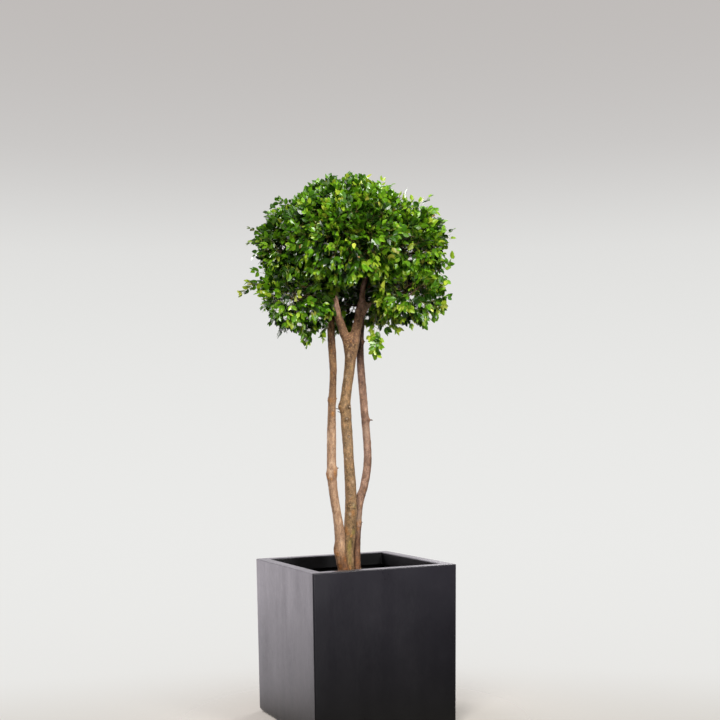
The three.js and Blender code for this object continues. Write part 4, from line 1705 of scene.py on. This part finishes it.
def grow_head():
    """Boughs from the limbs' ends to seeded places in the masses, branches and
    twigs from the nearest of what has grown, and a leafy shoot on every twig."""
    rng = np.random.default_rng(20417)
    g = Growth()
    for name, start in (
        ("stem_left", 1300),
        ("bough_fork_left", 1340),
        ("bough_upper", 1385),
        ("bough_side", 1360),
        ("stem_right", 1300),
    ):
        spec = STEMS.get(name) or BOUGHS[name]
        p, _ = limb_line(spec, 9)
        p = p[p[:, 2] > start]
        g.line(p, 0)

    def order(points):
        ends = np.array([[-66, 30, 1380], [-50, -17, 1386], [60, 7, 1490], [100, -14, 1384], [40, 64, 1380]])
        d = np.linalg.norm(points[:, None] - ends[None], axis=2).min(1)
        return points[np.argsort(d)]

    for level, low, high, gap, step in ((1, 95, 175, 92, 12), (2, 46, 120, 46, 10)):
        pts = order(spread(rng, low, high, gap, tries=24000))
        pts = pts[~open_at(pts, 3)]
        depth, way, _ = depth_of(pts)
        for p, w in zip(pts, way):
            g.attach(rng, p, unit(w + [0, 0, 0.35]), level, step)

    shoots = []

    # Sprays that stand out of the head.
    for x, y, z, lx, ly, lz, length in SPRAYS:
        lean = unit(np.array([lx, ly, lz]))
        tip = np.array([x, y, z], float) - lean * 12
        base = tip - lean * length * 0.92
        i = g.attach(rng, base, lean, 3, 8)
        shoots.append((i, lean, float(length), 1.0))

    def density(p, depth):
        d = np.where(depth < 74, 1.0, np.where(p[:, 2] > 1400, 0.8, 0.5))
        low = np.clip((1360 - p[:, 2]) / 80, 0, 1)
        behind = (p[:, 1] > 50) & (np.abs(p[:, 0]) < 120)
        return d * (1 - np.where(behind, 0.0, 0.12) * low)

    pts = order(spread(rng, 34, 125, 19.4, density, tries=90000))
    pts = pts[~in_any(pts, HOLLOWS, 1.05) & ~open_at(pts, 3)]
    depth, way, _ = depth_of(pts)
    for p, w, d in zip(pts, way, depth):
        i = g.attach(rng, p, w, 3, 9)
        up = 0.35 if w[2] > -0.25 else -0.10
        lean = unit(w + [0, 0, up] + rng.normal(0, 0.42, 3))
        cos = max(0.5, float(lean @ w))
        proud = rng.uniform(6, 26) if rng.random() > 0.14 else rng.uniform(-8, 4)
        shoots.append((i, lean, min(max((d - proud) / cos, 30), 92), 0.0))
        if rng.random() < 0.36 and g.parent[i] >= 0:
            side = unit(np.cross(g.way[i], rng.normal(0, 1, 3)))
            lean = unit(w * 0.5 + side * 0.9 + [0, 0, 0.1])
            shoots.append((g.parent[i], lean, min(rng.uniform(32, 56), max(d, 30)), 0.0))
    return g, shoots, rng


def girths(g, tip=0.62, power=2.35):
    """Pipe rule: a limb is as thick as what it carries."""
    area = np.zeros(g.n)
    carries = np.zeros(g.n, int)
    for i in range(g.n):
        if g.parent[i] >= 0:
            carries[g.parent[i]] += 1
    area[carries == 0] = tip**power
    for i in range(g.n - 1, -1, -1):
        p = g.parent[i]
        if p >= 0:
            area[p] += area[i]
    return np.minimum(area ** (1 / power), 9.5)


LEAF_ROWS = np.array([0.13, 0.36, 0.62, 0.85])
LEAF_WIDE = np.array([0.58, 0.98, 0.90, 0.46])


def leaves(base, axis, face, length, width, fold, droop, roll):
    """Folded, curved ovals with a slight point, as vertices and triangles."""
    n = len(base)
    axis = unit(axis)
    face = unit(face - axis * (face * axis).sum(1, keepdims=True))
    side = np.cross(axis, face)
    c, s = np.cos(roll)[:, None], np.sin(roll)[:, None]
    face, side = face * c + side * s, side * c - face * s
    rows = np.concatenate([[0], LEAF_ROWS, [1]])
    wide = np.concatenate([[0], LEAF_WIDE, [0]])
    L = length[:, None]
    y = rows[None] * L
    sag = -droop[:, None] * L * rows[None] ** 1.8
    mid = base[:, None] + axis[:, None] * y[..., None] + face[:, None] * sag[..., None]
    half = wide[None, 1:-1] * (width * length)[:, None] / 2
    cup = half * np.sin(fold)[:, None]
    flat = half * np.cos(fold)[:, None]
    left = mid[:, 1:-1] + side[:, None] * flat[..., None] + face[:, None] * cup[..., None]
    right = mid[:, 1:-1] - side[:, None] * flat[..., None] + face[:, None] * cup[..., None]
    # each half has its own midrib, so that the fold stays crisp
    v = np.concatenate([mid, left, mid, right], axis=1)  # 6 + 4 + 6 + 4
    tri = []
    for m0, e0, flip in ((0, 6, False), (10, 16, True)):
        t = [[m0, m0 + 1, e0]]
        for k in range(3):
            t += [
                [m0 + 1 + k, m0 + 2 + k, e0 + 1 + k],
                [m0 + 1 + k, e0 + 1 + k, e0 + k],
            ]
        t.append([m0 + 4, m0 + 5, e0 + 3])
        t = np.array(t)
        tri.append(t[:, ::-1] if flip else t)
    tri = np.concatenate(tri)
    faces = (tri[None] + (np.arange(n) * 20)[:, None, None]).reshape(-1, 3)
    return v.reshape(-1, 3), faces, len(tri)


def leafy():
    g, shoots, rng = grow_head()
    radius = girths(g)
    masses = list(MASSES)
    wood = {m: Heap() for m in masses}
    base, axis, face, size, wide, fold, droop, roll, tone, home = ([] for _ in range(10))

    starts = g.pos[[s[0] for s in shoots]]
    _, outs, owners = depth_of(starts)
    # New growth comes in patches over the head.
    fresh = layered(starts / 70, 5, 2)
    # Painted shade: leaves deep inside the head are dealt darker tones, partly as older leaves and partly as
    # painted shade.
    inner = np.clip((depth_of(starts)[0] - 40) / 60, 0, 1)
    for (i, lean, length, named), out, owner, new, deep in zip(
        shoots, outs, owners, fresh, inner
    ):
        p0, w0 = g.pos[i], g.way[i]
        n = max(4, int(round(length / 13)))
        s = np.linspace(0, 1, n + 1)
        hang = -0.28 if lean[2] < -0.2 or out[2] < -0.35 else 0.14
        bend = unit(lean + [0, 0, hang])
        t0 = unit(w0 * 0.5 + lean) * length
        tip = p0 + unit(lean * 1.3 + bend * 0.7 + rng.normal(0, 0.06, 3)) * length * 0.95
        t1 = bend * length
        s_ = s[:, None]
        pts = (
            (2 * s_**3 - 3 * s_**2 + 1) * p0
            + (s_**3 - 2 * s_**2 + s_) * t0
            + (-2 * s_**3 + 3 * s_**2) * tip
            + (s_**3 - s_**2) * t1
        )
        way = unit(np.gradient(pts, axis=0))
        tube(
            wood[masses[owner]],
            world(pts),
            np.linspace(0.75, 0.38, n + 1) / 1000,
            3,
            1 if new > -0.1 else 2,
            cap_end=False,
        )
        # The spray's own flat plane faces the light and outwards.
        up = unit(out * 0.75 + np.array([0, 0, 0.7]) + rng.normal(0, 0.38, 3))
        # Painted shade: the deeper the shoot, the darker its leaves' tone.
        young = new * 0.9 + rng.normal(0, 0.36) - 0.9 * deep + 0.2 * named
        # Painted light and shade: tones lighter on the right-hand side as seen from the front, darker towards
        # the left and on the crest, standing in for how the lamps fall.
        young += 0.2 * min(1.0, max(-0.6, p0[0] / 170))
        young -= 0.42 * min(1.0, max(0.0, (p0[2] - 1685) / 90))
        vigour = rng.uniform(0.86, 1.16)
        gap = rng.uniform(11.5, 14.5)
        count = max(2, int((length - 6) / gap))
        where = 1 - (np.arange(count) * gap) / length
        where = where[where > 0.10]
        twist = rng.uniform(-0.4, 0.4)
        for k, u in enumerate(where):
            f = u * n
            a = min(int(f), n - 1)
            at = pts[a] + (pts[a + 1] - pts[a]) * (f - a)
            w = way[a]
            lift = unit(up - w * (up @ w))
            side = np.cross(w, lift)
            turn = twist + (0.5 if k % 2 else -0.1) + rng.normal(0, 0.2)
            ct, st = math.cos(turn), math.sin(turn)
            side, lift = side * ct + lift * st, lift * ct - side * st
            age = min(1.0, k / 3.0)
            spreadout = math.radians(34 + 26 * age)
            for hand in (-1, 1):
                if rng.random() < 0.06:
                    continue
                ang = spreadout + rng.normal(0, 0.17)
                ax = math.cos(ang) * w + math.sin(ang) * hand * side
                ax = ax + lift * rng.normal(0.0, 0.16)
                if out[2] < -0.2 and not named:
                    ax = unit(ax) + [0, 0, -0.4]
                base.append(at + unit(ax) * 1.2)
                axis.append(ax)
                face.append(lift + rng.normal(0, 0.26, 3))
                grown = 0.70 + 0.30 * min(1.0, (k + 0.6) / 2.2)
                size.append(float(np.clip(rng.normal(25.0, 3.2), 17, 33)) * grown * vigour)
                wide.append(rng.uniform(0.58, 0.74))
                fold.append(rng.uniform(0.12, 0.42))
                droop.append(rng.uniform(0.02, 0.24))
                roll.append(rng.normal(0, 0.25))
                tone.append(young + (0.42 if k == 0 else 0.16 if k == 1 else -0.14 * k) + rng.normal(0, 0.40))
                home.append(owner)
        # A small leaf at the very tip.
        base.append(pts[-1])
        axis.append(way[-1] + rng.normal(0, 0.12, 3))
        face.append(up)
        size.append(rng.uniform(11, 17))
        wide.append(rng.uniform(0.5, 0.62))
        fold.append(rng.uniform(0.3, 0.6))
        droop.append(rng.uniform(-0.05, 0.1))
        roll.append(0.0)
        tone.append(young + 0.75)
        home.append(owner)

    base, axis, face = (np.array(x, float) for x in (base, axis, face))
    size, wide, fold, droop, roll, tone = (
        np.array(x, float) for x in (size, wide, fold, droop, roll, tone)
    )
    home = np.array(home)
    centre = base + unit(axis) * (size * 0.5)[:, None]
    keep = ~in_any(centre, HOLLOWS, 0.92)
    v, _, _ = leaves(base, axis, face, size, wide, fold, droop, roll)
    keep &= ~open_at(v.reshape(len(base), -1, 3)).any(1)
    # No leaf runs through a limb.
    for name in (*STEMS, *BOUGHS):
        spec = STEMS.get(name) or BOUGHS[name]
        p, _ = limb_line(spec, 8)
        p = p[p[:, 2] > 1180]
        r = along(spec["girth"], p[:, 2]) / 2
        for q in (base, centre, base + unit(axis) * size[:, None]):
            near = (q[:, 2] > 1170) & (np.linalg.norm(q[:, :2] - [0, 10], axis=1) < 130)
            ids = np.where(near & keep)[0]
            if len(ids):
                d = np.linalg.norm(q[ids, None] - p[None], axis=2) - r
                keep[ids[d.min(1) < 1.5]] = False
    base, axis, face, size, wide, fold, droop, roll, tone, home = (
        x[keep] for x in (base, axis, face, size, wide, fold, droop, roll, tone, home)
    )
    return g, radius, wood, (base, axis, face, size, wide, fold, droop, roll, tone, home)


# Leaf colours, from the oldest and deepest to the newest growth, set brighter than the leaves' own colour as
# painted light standing in for light shining through them.
LEAF_TONES = [
    ("leaf_deep", "162d06", 0.20),
    ("leaf_deep_cool", "1d3a07", 0.19),
    ("leaf_dark", "294b09", 0.20),
    ("leaf_cool", "345c09", 0.19),
    ("leaf_mid", "466e0b", 0.20),
    ("leaf_full", "558311", 0.21),
    ("leaf_bright", "699417", 0.22),
    ("leaf_fresh", "7e9b21", 0.23),
    ("leaf_lime", "91a62b", 0.25),
    ("leaf_new", "a8b33d", 0.27),
    ("leaf_olive", "757a24", 0.30),
    ("leaf_tan", "94723c", 0.45),
]


def build_head(twig_mats, leaf_mats):
    g, radius, wood, (base, axis, face, size, wide, fold, droop, roll, tone, home) = leafy()
    rng = np.random.default_rng(99)
    masses = list(MASSES)
    # Boughs and twigs, each in the mass where it ends.
    for level, ids in g.paths:
        if level == 0 or len(ids) < 2:
            continue
        pts = g.pos[ids]
        r = radius[ids].copy()
        r[0] = min(r[0], r[1] * 1.25)
        mid = pts[-1:]
        _, _, owner = depth_of(mid)
        tube(
            wood[masses[int(owner[0])]],
            world(pts),
            np.maximum(r, 0.7) / 1000,
            {1: 10, 2: 7, 3: 4}[level],
            0,
            cap_end=False,
        )
    # Each leaf's tone, as the place it takes among all the leaves.
    shares = np.array([0.13, 0.11, 0.13, 0.12, 0.14, 0.13, 0.115, 0.075, 0.035, 0.012])
    edges = np.cumsum(shares) / shares.sum()
    rank = np.argsort(np.argsort(tone)) / len(tone)
    pick = np.searchsorted(edges, rank).clip(0, 9)
    odd = rng.random(len(pick))
    pick = np.where(odd < 0.014, 10, pick)
    pick = np.where(odd > 0.9985, 11, pick)
    made = []
    for m, name in enumerate(masses):
        sel = home == m
        v, f, per = leaves(
            base[sel], axis[sel], face[sel], size[sel], wide[sel], fold[sel], droop[sel], roll[sel]
        )
        o = mesh_from("leaves_" + name, world(v), f)
        o.data.polygons.foreach_set("material_index", np.repeat(pick[sel], per).astype(np.int32))
        for mat in leaf_mats:
            o.data.materials.append(mat)
        t = wood[name].build("twigs_" + name)
        for mat in twig_mats:
            t.data.materials.append(mat)
        made.append((name, o, t))
    print("leaves", len(pick), "shoots", len(g.paths), "nodes", g.n)
    return made


# --------------------------------------------------------------------- assembly
shell = planter()
shell.data.materials.append(pot_finish())
shell.data.materials.append(pot_inside())
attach(shell, "root")
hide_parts("pot")

bed = compost()
bed.data.materials.append(compost_mix())
bed.data.materials.append(plain("compost_chip", (0.055, 0.034, 0.02), 0.85, 0.2))
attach(bed, "root")
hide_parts("compost")

TAN = bark(
    "bark_tan",
    from_hex("7c5f4a"), from_hex("9a7b62"), from_hex("b69a81"),
    above=(from_hex("4c3322"), from_hex("6c4f34"), from_hex("8b6b48")),
    spots=0.3,
    blotch=0.62,
)
OLIVE = bark(
    "bark_olive",
    from_hex("5f4b33"), from_hex("7f6649"), from_hex("98795a"),
    above=(from_hex("4a3729"), from_hex("664d37"), from_hex("81664b")),
    spots=0.5,
)
RED = bark(
    "bark_red",
    from_hex("5a4136"), from_hex("7f6252"), from_hex("9f8170"),
    above=(from_hex("2f1f19"), from_hex("483128"), from_hex("5e4539")),
    spots=0.28,
    blotch=0.8,
)
BROWN = bark(
    "bark_brown",
    from_hex("523b2b"), from_hex("72543e"), from_hex("8d6d51"),
    spots=0.5,
)

left = grown_stem(
    "stem_left",
    [(815, 5, 5.5, 2.0, 1.5, 0.35), (1046, 352, 4.0, 1.6, 1.2, 0.3)],
    [(478, 215, 30, 3.2, 1), (470, 300, 26, 2.4, 2), (474, 255, 24, 2.0, 3)],
)
left.data.materials.append(TAN)
right = grown_stem(
    "stem_right",
    [(973, 356, 9.5, 2.4, 1.6, -0.15), (1240, 350, 3.5, 1.8, 1.4, 0.1), (634, 345, 4.0, 1.6, 1.1, 0.3)],
    [(476, 320, 24, 2.2, 4), (482, 350, 20, 1.6, 5), (470, 275, 28, 2.2, 6), (474, 20, 30, 2.6, 7)],
)
right.data.materials.append(RED)
for o, name, slot in ((left, "stem_left", "bark_tan"), (right, "stem_right", "bark_red")):
    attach(o, "root")
    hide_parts(name)
for name, o in forked():
    o.data.materials.append(OLIVE if name == "stem_middle" else BROWN)
    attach(o, "root")
    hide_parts(name)

leaf_mats = [
    plain(name, from_hex(h), rough + 0.08, 0.44) for name, h, rough in LEAF_TONES
]
twig_mats = [
    plain("twig_brown", from_hex("54402c"), 0.75, 0.3),
    plain("shoot_green", from_hex("86902f"), 0.55, 0.4),
    plain("shoot_olive", from_hex("6f6a33"), 0.6, 0.35),
]
for name, o, t in build_head(twig_mats, leaf_mats):
    for piece, slot in ((o, "leaf"), (t, "bark_brown")):
        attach(piece, "root")
        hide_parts("foliage_" + name)

# ------------------------------------------------------------------------ stage
scene = bpy.context.scene
ring = np.linspace(0, 2 * np.pi, 97)[:-1]
rim = np.stack([14 * np.cos(ring), 14 * np.sin(ring), np.zeros(96)], 1)
floor = mesh_from("floor", np.vstack([rim, [[0, 0, 0]]]), fan(96, np.arange(96)), False)
n = Nodes("floor_pale")
n.bsdf.inputs["Base Color"].default_value = (0.50, 0.468, 0.425, 1)
n.bsdf.inputs["Roughness"].default_value = 0.9
n.bsdf.inputs["Specular IOR Level"].default_value = 0.1
# The floor runs out into the backdrop without a line.
where = n.new("ShaderNodeTexCoord")
far = n.new("ShaderNodeVectorMath", operation="LENGTH")
n.link(where.outputs["Object"], far.inputs[0])
clear = n.new("ShaderNodeBsdfTransparent")
fade = n.new("ShaderNodeMixShader")
out_far = n.maths("POWER", far.outputs["Value"], 4.0)
n.link(n.maths("DIVIDE", out_far, n.maths("ADD", out_far, 0.073)), fade.inputs[0])
n.link(n.bsdf.outputs[0], fade.inputs[1])
n.link(clear.outputs[0], fade.inputs[2])
n.link(fade.outputs[0], n.out.inputs[0])
floor.data.materials.append(n.mat)

backdrop = bpy.data.worlds.new("studio")
scene.world = backdrop
backdrop.use_nodes = True
tree = backdrop.node_tree
tree.nodes.clear()


def node(kind, **settings):
    made = tree.nodes.new(kind)
    for k, v in settings.items():
        setattr(made, k, v)
    return made


# The backdrop as it is seen, a little greyer high up, and the softer light that
# it sheds on the plant.
look = node("ShaderNodeNewGeometry")
parts = node("ShaderNodeSeparateXYZ")
tree.links.new(look.outputs["Incoming"], parts.inputs[0])
rise = node("ShaderNodeValToRGB")
rise.color_ramp.interpolation = "B_SPLINE"
tree.links.new(parts.outputs["Z"], rise.inputs[0])
heights = node("ShaderNodeMapRange")
heights.inputs[1].default_value, heights.inputs[2].default_value = 0.26, -0.40
tree.links.new(parts.outputs["Z"], heights.inputs[0])
tree.links.new(heights.outputs[0], rise.inputs[0])
els = rise.color_ramp.elements
els[0].position, els[0].color = 0.04, (0.675, 0.645, 0.60, 1)
els[1].position, els[1].color = 0.95, (0.515, 0.49, 0.475, 1)
for at, colour in (
    (0.10, (0.845, 0.845, 0.83)),
    (0.40, (0.82, 0.82, 0.805)),
    (0.64, (0.765, 0.765, 0.75)),
    (0.77, (0.575, 0.56, 0.55)),
):
    els.new(at).color = (*colour, 1)
shown = node("ShaderNodeBackground")
tree.links.new(rise.outputs[0], shown.inputs["Color"])
facing = node("ShaderNodeVectorMath", operation="DOT_PRODUCT")
facing.inputs[1].default_value = (-0.30, -0.95, 0.0)
tree.links.new(look.outputs["Incoming"], facing.inputs[0])
wall = node("ShaderNodeMapRange")
wall.inputs[1].default_value, wall.inputs[2].default_value = 0.0, 0.75
wall.inputs[3].default_value, wall.inputs[4].default_value = 0.10, 1.9
tree.links.new(facing.outputs["Value"], wall.inputs[0])
path = node("ShaderNodeLightPath")
soft = node("ShaderNodeMapRange")
soft.inputs[3].default_value, soft.inputs[4].default_value = 0.30, 1.0
tree.links.new(path.outputs["Is Glossy Ray"], soft.inputs[0])
below = node("ShaderNodeMapRange")
below.inputs[1].default_value, below.inputs[2].default_value = -0.16, 0.04
below.inputs[3].default_value, below.inputs[4].default_value = 0.68, 1.0
tree.links.new(parts.outputs["Z"], below.inputs[0])
lit_wall = node("ShaderNodeMath", operation="MULTIPLY")
tree.links.new(wall.outputs[0], lit_wall.inputs[0])
tree.links.new(below.outputs[0], lit_wall.inputs[1])
power = node("ShaderNodeMath", operation="MULTIPLY")
tree.links.new(lit_wall.outputs[0], power.inputs[0])
tree.links.new(soft.outputs[0], power.inputs[1])
shed = node("ShaderNodeBackground")
shed.inputs["Color"].default_value = (1.0, 0.94, 1.0, 1)
tree.links.new(power.outputs[0], shed.inputs["Strength"])
choose = node("ShaderNodeMixShader")
tree.links.new(path.outputs["Is Camera Ray"], choose.inputs[0])
tree.links.new(shed.outputs[0], choose.inputs[1])
tree.links.new(shown.outputs[0], choose.inputs[2])
out = node("ShaderNodeOutputWorld")
tree.links.new(choose.outputs[0], out.inputs["Surface"])


def softbox(name, at, aim, size, power, colour=(1, 1, 1)):
    lamp = bpy.data.lights.new(name, "AREA")
    lamp.shape = "RECTANGLE"
    lamp.size, lamp.size_y = size
    lamp.energy = power
    lamp.color = colour
    o = bpy.data.objects.new(name, lamp)
    o.location = at
    o.rotation_mode = "QUATERNION"
    o.rotation_quaternion = (Vector(aim) - Vector(at)).to_track_quat("-Z", "Y")
    o.visible_camera = False
    scene.collection.objects.link(o)
    return o


softbox("key", (-2.35, -2.95, 3.1), (0, 0, 1.4), (1.3, 1.3), 180, (1, 0.985, 0.955))
softbox("front", (0.95, -3.5, 2.3), (0, 0, 1.4), (0.8, 0.8), 130, (1, 0.99, 0.975))
softbox("low", (-0.3, -3.4, 0.75), (0, 0, 1.35), (0.9, 0.9), 25, (1, 0.98, 0.96))
softbox("above", (0.2, -0.3, 4.4), (0, 0, 1.5), (1.4, 1.4), 28)
softbox("wall", (-1.8, 2.9, 1.1), (0, 0, 0.4), (2.6, 2.8), 29, (1, 0.91, 1.0))
softbox("far", (2.6, 2.4, 2.4), (0, 0, 1.3), (1.4, 1.4), 66)
softbox("back", (-1.5, 3.1, 3.3), (0, 0, 0.8), (1.6, 1.6), 106, (1, 0.965, 1.0))

YAW, PITCH, ROLL = 0.4431, 0.0692, -0.0121
s, c = math.sin(YAW), math.cos(YAW)
sp, cp = math.sin(PITCH), math.cos(PITCH)
r0, forward, up0 = (
    Vector((c, -s, 0)),
    Vector((s * cp, c * cp, sp)),
    Vector((-s * sp, -c * sp, cp)),
)
right_v = math.cos(ROLL) * r0 + math.sin(ROLL) * up0
up_v = -math.sin(ROLL) * r0 + math.cos(ROLL) * up0
lens = bpy.data.cameras.new("camera")
lens.sensor_width = 36.0
lens.lens = 1128.24 / 720 * 36.0
lens.clip_start, lens.clip_end = 0.05, 200
camera = bpy.data.objects.new("camera", lens)
m = Matrix.Identity(4)
for i in range(3):
    m[i][0], m[i][1], m[i][2] = right_v[i], up_v[i], -forward[i]
m.translation = Vector((-1.5893, -3.4214, 0.508 + 0.4059))
camera.matrix_world = m
scene.collection.objects.link(camera)
scene.camera = camera
scene.view_settings.view_transform = "Standard"

bpy.context.view_layer.update()
